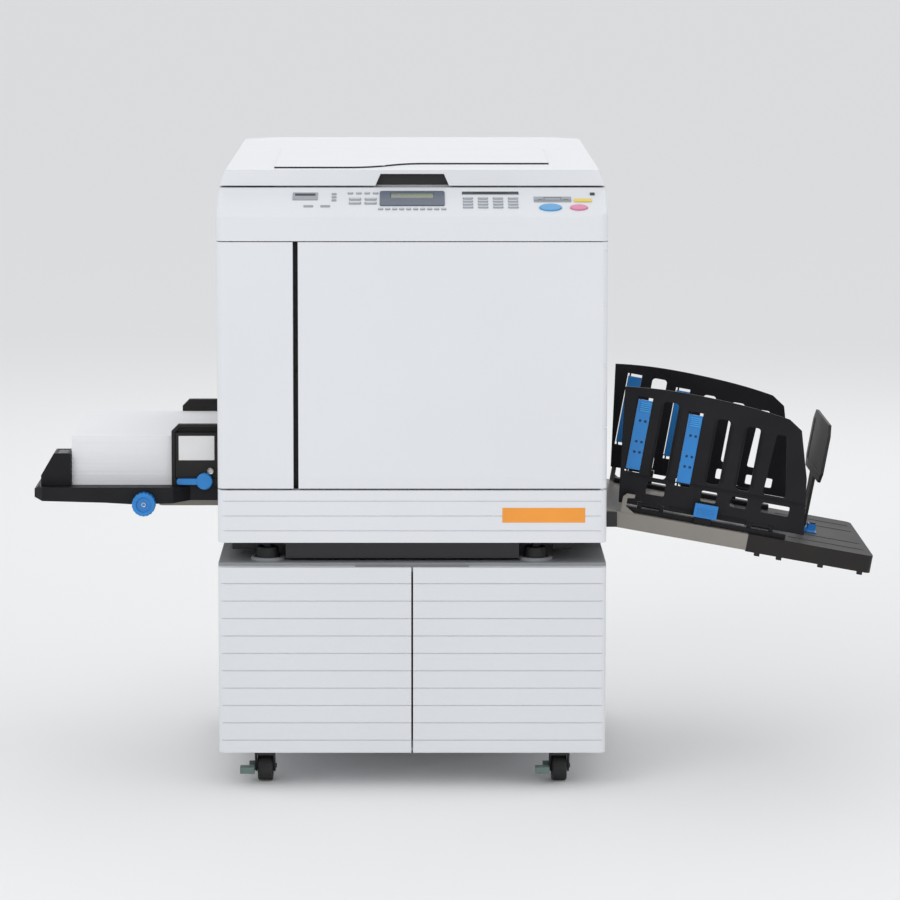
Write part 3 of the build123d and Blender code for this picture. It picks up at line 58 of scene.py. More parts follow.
# The key panel's slope, from its front edge up to its back edge
PANEL_RISE = 0.038
PANEL_RUN = 0.09
PANEL_SLOPE = math.atan2(PANEL_RISE, PANEL_RUN)
# The receiving tray: slope, height of its upper end and gap between it and the side cover
TRAY_TILT = math.radians(10.3)
TRAY_START_Z = 0.458
TRAY_GAP = 0.006

# How each finish is made: roughness, grain and bump of its surface, drift of its tone
FINISHES = {
    "pale_moulding": dict(rough=0.42, grain=1400, bump=0.10, mottle=3.0, shade=0.018),
    "pale_laminate": dict(rough=0.46, grain=700, bump=0.08, mottle=2.5, shade=0.02),
    "black_moulding": dict(rough=0.42, grain=1600, bump=0.22, mottle=14, shade=0.25, shine=0.18),
    "dark_moulding": dict(rough=0.46, grain=1500, bump=0.20, mottle=12, shade=0.15, shine=0.2),
    "warm_painted_steel": dict(rough=0.36, metallic=0.35, grain=1100, bump=0.10, mottle=7, shade=0.10),
    "brushed_bare_steel": dict(rough=0.27, metallic=0.95, grain=240, bump=0.10, mottle=20,
                               shade=0.12, stretch=(1, 14, 1)),
    "touch_blue": dict(rough=0.33, grain=1300, bump=0.08, mottle=18, shade=0.10, coat=0.15),
    "black_rubber": dict(rough=0.62, grain=1200, bump=0.30, mottle=24, shade=0.30),
    "clear_glass": dict(rough=0.04, grain=60, bump=0.0, mottle=5, shade=0.01, edge=False),
    "key_film": dict(rough=0.5, grain=1500, bump=0.06, mottle=30, shade=0.06),
    "grey_laminate": dict(rough=0.5, grain=800, bump=0.10, mottle=5, shade=0.05),
    "black_painted_steel": dict(rough=0.38, grain=900, bump=0.12, mottle=9, shade=0.25),
    "pickup_rubber": dict(rough=0.7, grain=1300, bump=0.30, mottle=20, shade=0.15),
    "backing_film": dict(rough=0.6, grain=500, bump=0.10, mottle=6, shade=0.02),
    "display_bezel": dict(rough=0.3, grain=1500, bump=0.05, mottle=16, shade=0.08),
    "drum_screen": dict(rough=0.34, metallic=0.9, grain=2200, bump=0.35, mottle=12, shade=0.12),
    "ink_bottle_plastic": dict(rough=0.3, grain=900, bump=0.05, mottle=12, shade=0.2),
    "unit_grey": dict(rough=0.45, grain=1200, bump=0.14, mottle=7, shade=0.08),
    "stopper_grey": dict(rough=0.45, grain=1300, bump=0.12, mottle=12, shade=0.10, shine=0.2),
    "start_key_blue": dict(rough=0.3, grain=1500, bump=0.04, mottle=30, shade=0.05, coat=0.3),
    "stop_key_pink": dict(rough=0.3, grain=1500, bump=0.04, mottle=30, shade=0.05, coat=0.3),
    "brake_pedal_paint": dict(rough=0.4, grain=900, bump=0.12, mottle=30, shade=0.12),
    "amber_film": dict(rough=0.35, grain=1200, bump=0.04, mottle=16, shade=0.05, coat=0.3),
    "olive_display": dict(rough=0.2, grain=900, bump=0.02, mottle=40, shade=0.10, coat=0.5),
    "panel_print_dark": dict(rough=0.4, grain=1200, bump=0.03, mottle=30, shade=0.15),
    "indicator_window": dict(rough=0.12, grain=900, bump=0.01, mottle=30, shade=0.1, edge=False),
    "small_key_yellow": dict(rough=0.35, grain=1200, bump=0.03, mottle=30, shade=0.05),
    "key_top_pale": dict(rough=0.42, grain=1400, bump=0.04, mottle=40, shade=0.05, edge=False),
    # Painted shade: near-black finish laid in the lid's finger recess and slot
    "recess_painted_shade": dict(rough=0.5, grain=1200, bump=0.15, mottle=12, shade=0.2),
    "paper_edges": dict(rough=0.82, grain=300, bump=0.22, mottle=5, shade=0.02, stretch=(1, 1, 12),
                        edge=False),
    "bare_label_film": dict(rough=0.45, grain=900, bump=0.04, mottle=20, shade=0.03),
    "stopper_top_silver": dict(rough=0.35, metallic=0.5, grain=700, bump=0.1, mottle=20, shade=0.08),
    "fin_cap_blue": dict(rough=0.32, grain=900, bump=0.05, mottle=30, shade=0.06),
    # Painted shade: dark finish for the fins' hole discs
    "fin_hole_painted_shade": dict(rough=0.6, grain=900, bump=0.05, mottle=30, shade=0.2),
    "stopper_insert_brass": dict(rough=0.35, metallic=0.4, grain=500, bump=0.12, mottle=14, shade=0.12),
}


def colour(name, description, default):
    return FloatVectorProperty(
        name=name, description=description, subtype="COLOR", size=3, min=0, max=1, default=default)


def length(name, description, default):
    return FloatProperty(
        name=name, description=description, subtype="DISTANCE", unit="LENGTH", min=0, default=default)


class DuplicatorColours(bpy.types.PropertyGroup):
    shell: colour("Shell", "Pale moulded housings", (0.76, 0.775, 0.80))
    board: colour("Cabinet board", "Laminate of the cabinet and its doors", (0.73, 0.745, 0.77))
    stand_top: colour("Cabinet top", "Grey laminate under the machine", (0.30, 0.31, 0.32))
    black: colour("Black plastic", "Trays, fences and guides", (0.012, 0.012, 0.014))
    dark: colour("Dark plastic", "Outer receiving tray and feed guides", (0.022, 0.020, 0.019))
    steel: colour("Warm steel", "Painted steel under the trays", (0.27, 0.25, 0.225))
    bare: colour("Bare steel", "Drum, shafts and screws", (0.52, 0.51, 0.50))
    blue: colour("Touch blue", "Dial, levers, fins and latches", (0.012, 0.215, 0.60))
    cap_blue: colour("Cap blue", "Lighter ribbed caps on the fins", (0.05, 0.36, 0.78))
    start: colour("Start key", "Large blue key", (0.06, 0.33, 0.66))
    stop: colour("Stop key", "Pink key", (0.70, 0.20, 0.36))
    amber: colour("Amber", "Bare plate on the base cover", (0.90, 0.33, 0.03))
    bezel: colour("Bezel", "Surround of the message display", (0.10, 0.125, 0.17))
    lcd: colour("Display", "Unlit message display", (0.16, 0.19, 0.13))
    film: colour("Key film", "Grey keys and key fields", (0.36, 0.385, 0.42))
    paper: colour("Paper", "Stack in the feed tray", (0.88, 0.885, 0.90))
    brass: colour("Brass tone", "Insert of the end stopper", (0.36, 0.26, 0.10))
    brake: colour("Brake pedal", "Pedals beside the front casters", (0.13, 0.19, 0.17))
    rubber: colour("Rubber", "Caster wheels, machine feet and pressure roller", (0.018, 0.018, 0.019))
    pickup: colour("Pick-up rubber", "Pick-up roller", (0.10, 0.085, 0.075))
    glass: colour("Glass", "Platen glass", (0.80, 0.86, 0.86))
    chassis: colour("Black steel", "Inner frame and caster forks", (0.016, 0.016, 0.018))
    pad: colour("Backing pad", "White pad under the platen cover", (0.86, 0.86, 0.85))
    drum: colour("Drum", "Screen of the print drum", (0.30, 0.30, 0.31))
    bottle: colour("Ink bottle", "Bottle inside the drum", (0.04, 0.04, 0.045))
    unit: colour("Master unit", "Master making unit", (0.26, 0.27, 0.29))
    stopper: colour("End stopper", "Stopper of the receiving tray", (0.028, 0.027, 0.026))
    print_dark: colour("Panel print", "Dark fields and line drawing on the panel", (0.035, 0.04, 0.05))
    smoke: colour("Smoked window", "Window over the indicators", (0.008, 0.008, 0.01))
    yellow: colour("Yellow key", "Small key at the panel's right end", (0.80, 0.62, 0.12))
    key_top: colour("Key tops", "Raised tops of the small keys", (0.50, 0.52, 0.56))
    # Painted shade: near-black colour for the lid's finger recess and the slot before the raised sheet plate
    lid_painted_shade: colour("Lid lining", "Finger recess and slot of the platen cover", (0.012, 0.012, 0.013))
    label: colour("Bare label", "Label on the front feed guide", (0.80, 0.80, 0.79))
    grip: colour("Grip lines", "Lines on top of the feed stopper", (0.34, 0.35, 0.36))
    # Painted shade: dark blue for each fin hole, laid on a flat disc
    painted_fin_hole_shade: colour("Fin holes", "Holes in the blue fins", (0.004, 0.03, 0.10))


class DuplicatorSizes(bpy.types.PropertyGroup):
    edge: length("Edge radius", "Shaded radius of moulded edges", 0.0012)
    plate_left: length("Plate inset", "Amber plate's left end from the base cover's left end", 0.474)
    plate_width: length("Plate width", "Amber plate", 0.138)
    plate_height: length("Plate height", "Amber plate", 0.025)
    plate_low: length("Plate height above base", "Amber plate's lower edge above the base cover's", 0.034)
    film: length("Film thickness", "How far a bare film stands off the face under it", 0.0003)
    sheet_bundles: IntProperty(
        name="Paper bundles", description="Visible bundles in the stack", min=8, max=120, default=56)


class DuplicatorStage(bpy.types.PropertyGroup):
    distance: length("Camera distance", "Camera to front face", 6.05)
    height: length("Camera height", "Camera above the floor", 1.504)
    lens: FloatProperty(name="Lens", description="Focal length in millimetres", min=10, default=147.3)
    tilt: FloatProperty(
        name="Tilt", description="Camera tilt below level", subtype="ANGLE", default=math.radians(6.6))
    shift_x: FloatProperty(name="Shift X", description="Camera shift sideways", default=0.042)
    shift_y: FloatProperty(name="Shift Y", description="Camera shift upwards", default=-0.15)
    floor: colour("Floor", "Plain floor under the machine", (0.90, 0.90, 0.90))
    sky: colour("Sky", "Light from all round", (0.975, 0.985, 1.0))
    sky_strength: FloatProperty(name="Sky strength", description="Light from all round", min=0, default=0.80)


def colours():
    return bpy.context.scene.duplicator_colours


def sizes():
    return bpy.context.scene.duplicator_sizes


def add_node(tree, kind, place, **inputs):
    node = tree.nodes.new(kind)
    node.location = place
    for name, value in inputs.items():
        node.inputs[name.replace("_", " ")].default_value = value
    return node


def finish(name, rgb):
    """The material of that name, made once in the colour given."""
    known = bpy.data.materials.get(name)
    return known or surface(name, rgb, **FINISHES[name])


def surface(name, rgb, rough, metallic=0.0, grain=900.0, bump=0.12, mottle=9.0, shade=0.05,
            stretch=(1, 1, 1), coat=0.0, edge=True, shine=0.5):
    """Procedural surface: slow tone drift, fine grain in the bump and a drift in roughness."""
    material = bpy.data.materials.new(name)
    material.use_nodes = True
    tree = material.node_tree
    shader = tree.nodes["Principled BSDF"]
    shader.inputs["Metallic"].default_value = metallic
    shader.inputs["Coat Weight"].default_value = coat
    shader.inputs["Specular IOR Level"].default_value = shine
    where = add_node(tree, "ShaderNodeTexCoord", (-1100, 0))
    mapping = add_node(tree, "ShaderNodeMapping", (-920, 0), Scale=stretch)
    tree.links.new(where.outputs["Object"], mapping.inputs["Vector"])
    slow = add_node(tree, "ShaderNodeTexNoise", (-700, 220), Scale=mottle, Detail=3.0, Roughness=0.55)
    fine = add_node(tree, "ShaderNodeTexNoise", (-700, -160), Scale=grain, Detail=2.0, Roughness=0.6)
    for noise in (slow, fine):
        tree.links.new(mapping.outputs["Vector"], noise.inputs["Vector"])
    ramp = add_node(tree, "ShaderNodeValToRGB", (-480, 220))
    ramp.color_ramp.elements[0].position = 0.30
    ramp.color_ramp.elements[1].position = 0.70
    ramp.color_ramp.elements[0].color = (*[max(0.0, c * (1 - shade)) for c in rgb], 1)
    ramp.color_ramp.elements[1].color = (*[min(1.0, c * (1 + shade * 0.6)) for c in rgb], 1)
    tree.links.new(slow.outputs["Fac"], ramp.inputs["Fac"])
    tree.links.new(ramp.outputs["Color"], shader.inputs["Base Color"])
    spread = add_node(tree, "ShaderNodeMapRange", (-480, -20))
    spread.inputs["To Min"].default_value = max(0.02, rough - 0.05)
    spread.inputs["To Max"].default_value = min(1.0, rough + 0.07)
    tree.links.new(slow.outputs["Fac"], spread.inputs["Value"])
    tree.links.new(spread.outputs["Result"], shader.inputs["Roughness"])
    relief = add_node(tree, "ShaderNodeBump", (-240, -160), Strength=bump, Distance=0.0004)
    tree.links.new(fine.outputs["Fac"], relief.inputs["Height"])
    if edge:
        rounding = add_node(tree, "ShaderNodeBevel", (-480, -360), Radius=sizes().edge)
        rounding.samples = 4
        tree.links.new(rounding.outputs["Normal"], relief.inputs["Normal"])
    tree.links.new(relief.outputs["Normal"], shader.inputs["Normal"])
    return material


def shell_material():
    return finish("pale_moulding", colours().shell)


def board_material():
    return finish("pale_laminate", colours().board)


def black_material():
    return finish("black_moulding", colours().black)


def dark_material():
    return finish("dark_moulding", colours().dark)


def steel_material():
    return finish("warm_painted_steel", colours().steel)


def bare_material():
    return finish("brushed_bare_steel", colours().bare)


def blue_material():
    return finish("touch_blue", colours().blue)


def rubber_material():
    return finish("black_rubber", colours().rubber)


def glass_material():
    material = finish("clear_glass", colours().glass)
    material.node_tree.nodes["Principled BSDF"].inputs["Transmission Weight"].default_value = 0.85
    return material


def cad_finishes():
    """Material for every carried-over solid, by its node name."""
    tone = colours()
    table = {name: shell_material() for name in (
        "base_cover", "left_front_panel", "left_side_cover", "right_side_cover", "rear_cover",
        "scanner_housing", "control_panel", "front_cover", "platen_cover", "disposal_box")}
    table.update({name: board_material() for name in (
        "stand_cabinet", "stand_door_left", "stand_door_right")})
    table.update({name: black_material() for name in (
        "feed_tray", "feed_stopper", "front_fence", "rear_fence", "front_fence_foot", "rear_fence_foot",
        "suction_unit", "scan_carriage", "power_switch")})
    table.update({name: dark_material() for name in (
        "front_feed_guide", "rear_feed_guide", "receiving_tray")})
    table.update({name: blue_material() for name in (
        "guide_lock_lever", "feed_dial", "front_fin_inner", "front_fin_outer", "rear_fin_inner",
        "rear_fin_outer", "end_stopper_foot")})
    table.update({name: steel_material() for name in ("feed_bracket", "receiving_base")})
    table["stand_top"] = finish("grey_laminate", tone.stand_top)
    table["chassis"] = finish("black_painted_steel", tone.chassis)
    table["machine_feet"] = rubber_material()
    table["pressure_roller"] = rubber_material()
    table["pickup_roller"] = finish("pickup_rubber", tone.pickup)
    table["platen_glass"] = glass_material()
    table["platen_pad"] = finish("backing_film", tone.pad)
    table["panel_display"] = finish("display_bezel", tone.bezel)
    table["panel_keys"] = finish("key_film", tone.film)
    table["print_drum"] = finish("drum_screen", tone.drum)
    table["ink_bottle"] = finish("ink_bottle_plastic", tone.bottle)
    table["master_unit"] = finish("unit_grey", tone.unit)
    table["end_stopper"] = finish("stopper_grey", tone.stopper)
    table["start_key"] = finish("start_key_blue", tone.start)
    table["stop_key"] = finish("stop_key_pink", tone.stop)
    for hand in ("left", "right"):
        table["caster_brake_" + hand] = finish("brake_pedal_paint", tone.brake)
        for place in ("front", "rear"):
            table[f"caster_fork_{place}_{hand}"] = table["chassis"]
            table[f"caster_wheel_{place}_{hand}"] = rubber_material()
    return table


def as_piece(name, mesh, body, material):
    """Object at the origin from a finished bmesh, with its finish and body."""
    bmesh.ops.recalc_face_normals(mesh, faces=mesh.faces)
    data = bpy.data.meshes.new(name)
    mesh.to_mesh(data)
    mesh.free()
    piece = bpy.data.objects.new(name, data)
    bpy.context.scene.collection.objects.link(piece)
    piece.data.materials.append(material)
    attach(piece, body)
    return piece


def round_edges(mesh, edges, radius, segments):
    bmesh.ops.bevel(
        mesh, geom=edges, offset=radius, affect="EDGES", segments=segments, profile=0.5, material=-1)


def rounded_box(low, high, radius, segments=3, place=None):
    """Box between two corners with rounded edges, then put in place by a matrix."""
    mesh = bmesh.new()
    bmesh.ops.create_cube(mesh, size=1.0)
    low = Vector(low)
    high = Vector(high)
    size = high - low
    bmesh.ops.scale(mesh, vec=size, verts=mesh.verts)
    bmesh.ops.translate(mesh, vec=(low + high) / 2, verts=mesh.verts)
    round_edges(mesh, mesh.edges[:], min(radius, min(size) * 0.48), segments)
    if place is not None:
        bmesh.ops.transform(mesh, matrix=place, verts=mesh.verts)
    return mesh


def disc(centre, radius, height, axis, sides=32, bevel=0.0004, inner=0.0):
    """Short bevelled cylinder along an axis, with an optional sunk ring on its end."""
    mesh = bmesh.new()
    bmesh.ops.create_cone(
        mesh, cap_ends=True, segments=sides, radius1=radius, radius2=radius, depth=height)
    caps = [face for face in mesh.faces if len(face.verts) > 4]
    if inner:
        top = max(caps, key=lambda face: face.calc_center_median().z)
        bmesh.ops.inset_region(mesh, faces=[top], thickness=radius - inner)
        bmesh.ops.translate(mesh, vec=(0, 0, -height * 0.25), verts=top.verts)
    rims = [edge for edge in mesh.edges if edge.calc_face_angle(0) > 1.0]
    round_edges(mesh, rims, bevel, 2)
    turn = Vector((0, 0, 1)).rotation_difference(Vector(axis)).to_matrix().to_4x4()
    bmesh.ops.transform(mesh, matrix=Matrix.Translation(Vector(centre)) @ turn, verts=mesh.verts)
    return mesh


def merged(parts):
    """One bmesh out of several."""
    whole = bmesh.new()
    for part in parts:
        data = bpy.data.meshes.new("part")
        part.to_mesh(data)
        part.free()
        whole.from_mesh(data)
        bpy.data.meshes.remove(data)
    return whole


def middle(node):
    low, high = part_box(node)
    return (low + high) / 2


def panel_place(along, up):
    """Matrix of a spot on the sloping key panel, along from its middle and up from its front edge."""
    low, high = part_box("control_panel")
    edge_z = high.z - PANEL_RISE
    base = Vector(((low.x + high.x) / 2 + along, low.y, edge_z))
    spot = base + Vector((0, math.cos(PANEL_SLOPE) * up, math.sin(PANEL_SLOPE) * up))
    return Matrix.Translation(spot) @ Matrix.Rotation(PANEL_SLOPE, 4, "X")


def tray_place():
    """Matrix of the receiving tray's own level frame: origin at its upper inner end."""
    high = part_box("right_side_cover")[1]
    start = Vector((high.x + TRAY_GAP, middle("receiving_base").y, TRAY_START_Z))
    return Matrix.Translation(start) @ Matrix.Rotation(TRAY_TILT, 4, "Y")


class DUPLICATOR_OT_finishes(bpy.types.Operator):
    """Give every carried-over solid its procedural finish"""

    bl_idname = "duplicator.finishes"
    bl_label = "Finishes"

    def execute(self, context):
        for name, material in cad_finishes().items():
            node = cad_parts[name]
            node.data.materials.clear()
            node.data.materials.append(material)
        return {"FINISHED"}


class DUPLICATOR_OT_amber_plate(bpy.types.Operator):
    """Bare amber plate on the base cover"""

    bl_idname = "duplicator.amber_plate"
    bl_label = "Amber plate"

    def execute(self, context):
        size = sizes()
        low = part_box("base_cover")[0]
        x0 = low.x + size.plate_left
        z0 = low.z + size.plate_low
        front = low.y
        near = (x0, front - size.film, z0)
        far = (x0 + size.plate_width, front + size.film * 4, z0 + size.plate_height)
        mesh = rounded_box(near, far, size.film)
        paint = finish("amber_film", colours().amber)
        as_piece("amber_plate", mesh, "machine", paint)
        return {"FINISHED"}


class DUPLICATOR_OT_panel(bpy.types.Operator):
    """Display window, dark fields, key tops and line drawing on the sloping panel"""

    bl_idname = "duplicator.panel"
    bl_label = "Key panel"

    # Heights above the slope, bottom and top, then the rounding
    bar_rise = (0.0001, 0.0016, 0.0005)
    lens_rise = (0.0015, 0.0019, 0.0003)
    yellow_rise = (0.0001, 0.0022, 0.0012)
    key_rise = (0.001, 0.0021, 0.0006)
    display_rise = (0.0006, 0.0014, 0.0004)
    stroke_low = 0.0012
    stroke_top = 0.0015
    # Fields are given as middle, place up the slope, width and depth
    display = (0.0, 0.066, 0.071, 0.018)
    dark_bars = (
        (0.130, 0.0765, 0.094, 0.0085),
        (-0.178, 0.0700, 0.034, 0.0075),
        (0.300, 0.0735, 0.008, 0.008),
    )
    yellow_key = (0.283, 0.050, 0.0296, 0.0104)
    # Width and depth of the window on the first dark field
    lens_size = (0.054, 0.0056)
    # Key groups: middle, place up the slope, columns, rows, pitches, key width and depth
    key_groups = (
        (0.130, 0.042, 4, 4, 0.025, 0.0105, 0.0145, 0.0048),
        (0.0, 0.020, 10, 1, 0.0116, 0.01, 0.0066, 0.0045),
        (-0.082, 0.048, 2, 2, 0.026, 0.014, 0.017, 0.0058),
        (-0.082, 0.076, 4, 1, 0.014, 0.01, 0.0072, 0.0045),
    )
    drawing_x = 0.233
    drawing_up = 0.050
    stroke_half = 0.0004
    # Strokes of the drawing from end to end: floor line, machine, feed sheet and printed sheet
    strokes = (
        (-0.030, 0, 0.030, 0), (-0.014, 0, -0.014, 0.010), (-0.014, 0.010, 0.014, 0.010),
        (0.014, 0.010, 0.014, 0), (-0.024, 0.003, -0.018, 0.003), (0.018, 0.003, 0.026, 0.003),
    )

    def execute(self, context):
        tone = colours()
        lcd = finish("olive_display", tone.lcd)
        window = self.field(*self.display, *self.display_rise)
        as_piece("display_window", window, "machine", lcd)
        dark = finish("panel_print_dark", tone.print_dark)
        parts = [self.field(*bar, *self.bar_rise) for bar in self.dark_bars]
        as_piece("panel_dark_fields", merged(parts), "machine", dark)
        x, up = self.dark_bars[0][:2]
        lens = self.field(x, up, *self.lens_size, *self.lens_rise)
        smoke = finish("indicator_window", tone.smoke)
        as_piece("indicator_window", lens, "machine", smoke)
        yellow = finish("small_key_yellow", tone.yellow)
        key = self.field(*self.yellow_key, *self.yellow_rise)
        as_piece("yellow_key", key, "machine", yellow)
        self.key_tops()
        self.line_drawing(dark)
        return {"FINISHED"}

    def field(self, x, up, width, deep, bottom, top, radius, segments=3):
        """Rounded block on the slope, from bottom to top above it."""
        low = (-width / 2, -deep / 2, bottom)
        high = (width / 2, deep / 2, top)
        return rounded_box(low, high, radius, segments, panel_place(x, up))

    def key_tops(self):
        """Raised tops of the small keys, so that each reads as a key."""
        tops = []
        for x, up, columns, rows, pitch_x, pitch_y, width, deep in self.key_groups:
            for column in range(columns):
                for row in range(rows):
                    key_x = x + (column - (columns - 1) / 2) * pitch_x
                    key_up = up + (row - (rows - 1) / 2) * pitch_y
                    tops.append(self.field(key_x, key_up, width, deep, *self.key_rise, segments=2))
        pale = finish("key_top_pale", colours().key_top)
        as_piece("small_key_tops", merged(tops), "machine", pale)

    def line_drawing(self, ink):
        """Plain outline of a machine with its paper path, as thin raised print."""
        parts = []
        half = self.stroke_half
        place = panel_place(self.drawing_x, self.drawing_up)
        for x0, y0, x1, y1 in self.strokes:
            low = (min(x0, x1) - half, min(y0, y1) - half, self.stroke_low)
            high = (max(x0, x1) + half, max(y0, y1) + half, self.stroke_top)
            parts.append(rounded_box(low, high, 0.0001, segments=1, place=place))
        as_piece("panel_line_drawing", merged(parts), "machine", ink)


class DUPLICATOR_OT_lid_details(bpy.types.Operator):
    """Near-black painted shade in the finger recess and in the slot before the raised sheet plate"""

    bl_idname = "duplicator.lid_details"
    bl_label = "Lid details"

    knuckle = 0.005
    recess_depth = 0.014
    recess_outline = ((-0.0612, 0.0006), (0.0612, 0.0006), (0.0526, 0.0190), (-0.0526, 0.0190))
    painted_shade_gap = 0.0003
    painted_shade_thickness = 0.0012
    painted_shade_radius = 0.0003
    slot_floor = 0.0254
    slot_near = 0.0375
    slot_far = 0.1105
    slot_half = 0.2325
    plate_rise = 0.0026
    ribbon_back = 0.0002
    ribbon_front = 0.0011
    ribbon_foot = 0.0001
    ribbon_top = 0.0003

    def execute(self, context):
        low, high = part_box("platen_cover")
        # Near-black finish that paints the shade of the recess and of the slot
        lid_painted_shade = finish("recess_painted_shade", colours().lid_painted_shade)
        middle_x = (low.x + high.x) / 2
        bottom = low.z + self.knuckle
        back = low.y + self.recess_depth
        face_y = back - self.painted_shade_gap
        mesh = bmesh.new()
        corners = [mesh.verts.new((middle_x + x, face_y, bottom + z)) for x, z in self.recess_outline]
        face = mesh.faces.new(corners)
        pushed = bmesh.ops.extrude_face_region(mesh, geom=[face])
        moved = [item for item in pushed["geom"] if isinstance(item, bmesh.types.BMVert)]
        bmesh.ops.translate(mesh, vec=(0, -self.painted_shade_thickness, 0), verts=moved)
        round_edges(mesh, mesh.edges[:], self.painted_shade_radius, 2)
        as_piece("lid_grip_painted_shade", mesh, "platen_cover", lid_painted_shade)
        self.slot_ribbon(low, bottom, middle_x, lid_painted_shade)
        return {"FINISHED"}

    def slot_ribbon(self, low, bottom, middle_x, lid_painted_shade):
        """Thin near-black strip of painted shade on the raised plate's front edge, along the edge found in
        the solid.
        """
        floor = bottom + self.slot_floor
        near = low.y + self.slot_near
        far = low.y + self.slot_far
        least = floor + self.plate_rise
        found = {}
        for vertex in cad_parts["platen_cover"].data.vertices:
            spot = vertex.co
            across = abs(spot.x - middle_x)
            if near < spot.y < far and across < self.slot_half and spot.z > least:
                key = round(spot.x, 4)
                if key not in found or spot.z > found[key].z:
                    found[key] = spot.copy()
        edge = [found[key] for key in sorted(found)]
        foot = floor + self.ribbon_foot
        mesh = bmesh.new()
        rings = []
        for spot in edge:
            top = spot.z - self.ribbon_top
            back = spot.y - self.ribbon_back
            front = spot.y - self.ribbon_front
            corners = ((back, foot), (front, foot), (front, top), (back, top))
            rings.append([mesh.verts.new((spot.x, y, z)) for y, z in corners])
        for before, after in zip(rings, rings[1:]):
            for number in range(4):
                following = (number + 1) % 4
                mesh.faces.new((before[number], before[following], after[following], after[number]))
        mesh.faces.new(rings[0])
        mesh.faces.new(list(reversed(rings[-1])))
        as_piece("lid_slot_painted_shade", mesh, "platen_cover", lid_painted_shade)


class DUPLICATOR_OT_paper(bpy.types.Operator):
    """Stack of sheets in slightly uneven bundles"""

    bl_idname = "duplicator.paper"
    bl_label = "Paper stack"

    most_slip_x = 0.0007
    most_slip_y = 0.0006
    # Part of a bundle's height left open under it, and its rounding
    joint = 0.04
    rounding = 0.00018

    def execute(self, context):
        random.seed(7)
        low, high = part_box("paper_stack")
        count = sizes().sheet_bundles
        step = (high.z - low.z) / count
        parts = []
        for number in range(count):
            slip_x = random.uniform(0.0, self.most_slip_x)
            slip_y = random.uniform(0.0, self.most_slip_y)
            z0 = low.z + number * step
            corner = (low.x + slip_x, low.y + slip_y, z0 + step * self.joint)
            far = (high.x - slip_x * 0.5, high.y - slip_y, z0 + step)
            parts.append(rounded_box(corner, far, self.rounding, segments=1))
        sheet = finish("paper_edges", colours().paper)
        stack = as_piece("paper_sheets", merged(parts), "feed_tray", sheet)
        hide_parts("paper_stack")
        return {"FINISHED"}


class DUPLICATOR_OT_feed_details(bpy.types.Operator):
    """Bare label, face plate, knob, tab, dial screw and grip lines on the feed side"""

    bl_idname = "duplicator.feed_details"
    bl_label = "Feed side details"

    face_behind_lever = 0.0058
    # Ends from the guide's left end, then the gaps below and above
    face_plate = (0.0065, 0.104, 0.0125, 0.0145)
    face_thickness = 0.0022
    # Ends from the guide's left end, then down from its top to both edges
    label = (0.012, 0.073, 0.062, 0.020)
    label_behind = 0.0002
    label_before = 0.0009
    # Ends from the guide's left end, then up from its lower edge to both edges
    tab = (0.029, 0.040, 0.003, 0.007)
    tab_depth = 0.004
    knob_along = 0.066
    knob_up = 0.026
    knob_out = 0.003
    knob_radius = 0.0055
    knob_height = 0.006
    knob_ring = 0.0035
    screw_depth = 0.0022
    screw_radius = 0.0042
    screw_height = 0.0036
    screw_ring = 0.0018
    grip_line_count = 7
    grip_line_start = 0.029
    grip_line_foot = 0.0022
    grip_line_top = 0.0004
    grip_line_pitch = 0.0024
    grip_line_width = 0.0012
    grip_line_inset = 0.007

    def execute(self, context):
        low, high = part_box("front_feed_guide")
        front = middle("guide_lock_lever").y + self.face_behind_lever
        left, right, below, above = self.face_plate
        near = (low.x + left, front, low.z + below)
        far = (low.x + right, front + self.face_thickness, high.z - above)
        face = rounded_box(near, far, 0.0009)
        as_piece("guide_face_plate", face, "front_feed_guide", dark_material())
        left, right, lower, upper = self.label
        near = (low.x + left, front - self.label_behind, high.z - lower)
        far = (low.x + right, front + self.label_before, high.z - upper)
        label = rounded_box(near, far, 0.0008)
        pale = finish("bare_label_film", colours().label)
        as_piece("guide_bare_label", label, "front_feed_guide", pale)
        centre = (low.x + self.knob_along, front - self.knob_out, low.z + self.knob_up)
        knob = disc(centre, self.knob_radius, self.knob_height, (0, -1, 0), inner=self.knob_ring)
        left, right, below, above = self.tab
        near = (low.x + left, front - self.tab_depth, low.z + below)
        far = (low.x + right, front, low.z + above)
        metal = merged([knob, rounded_box(near, far, 0.0006)])
        as_piece("guide_knob_and_tab", metal, "front_feed_guide", bare_material())
        self.dial_screw()
        self.grip_lines()
        return {"FINISHED"}

    def dial_screw(self):
        low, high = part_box("feed_dial")
        centre = (low + high) / 2
        spot = (centre.x, low.y + self.screw_depth, centre.z)
        screw = disc(spot, self.screw_radius, self.screw_height, (0, -1, 0), inner=self.screw_ring)
        as_piece("dial_screw", screw, "feed_dial", bare_material())

    def grip_lines(self):
        low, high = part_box("feed_stopper")
        lines = []
        for number in range(self.grip_line_count):
            x = low.x + self.grip_line_start + number * self.grip_line_pitch
            near = (x, low.y + self.grip_line_inset, high.z - self.grip_line_foot)
            far = (x + self.grip_line_width, high.y - self.grip_line_inset, high.z - self.grip_line_top)
            lines.append(rounded_box(near, far, 0.0003, segments=1))
        silver = finish("stopper_top_silver", colours().grip)
        as_piece("stopper_grip_lines", merged(lines), "feed_stopper", silver)


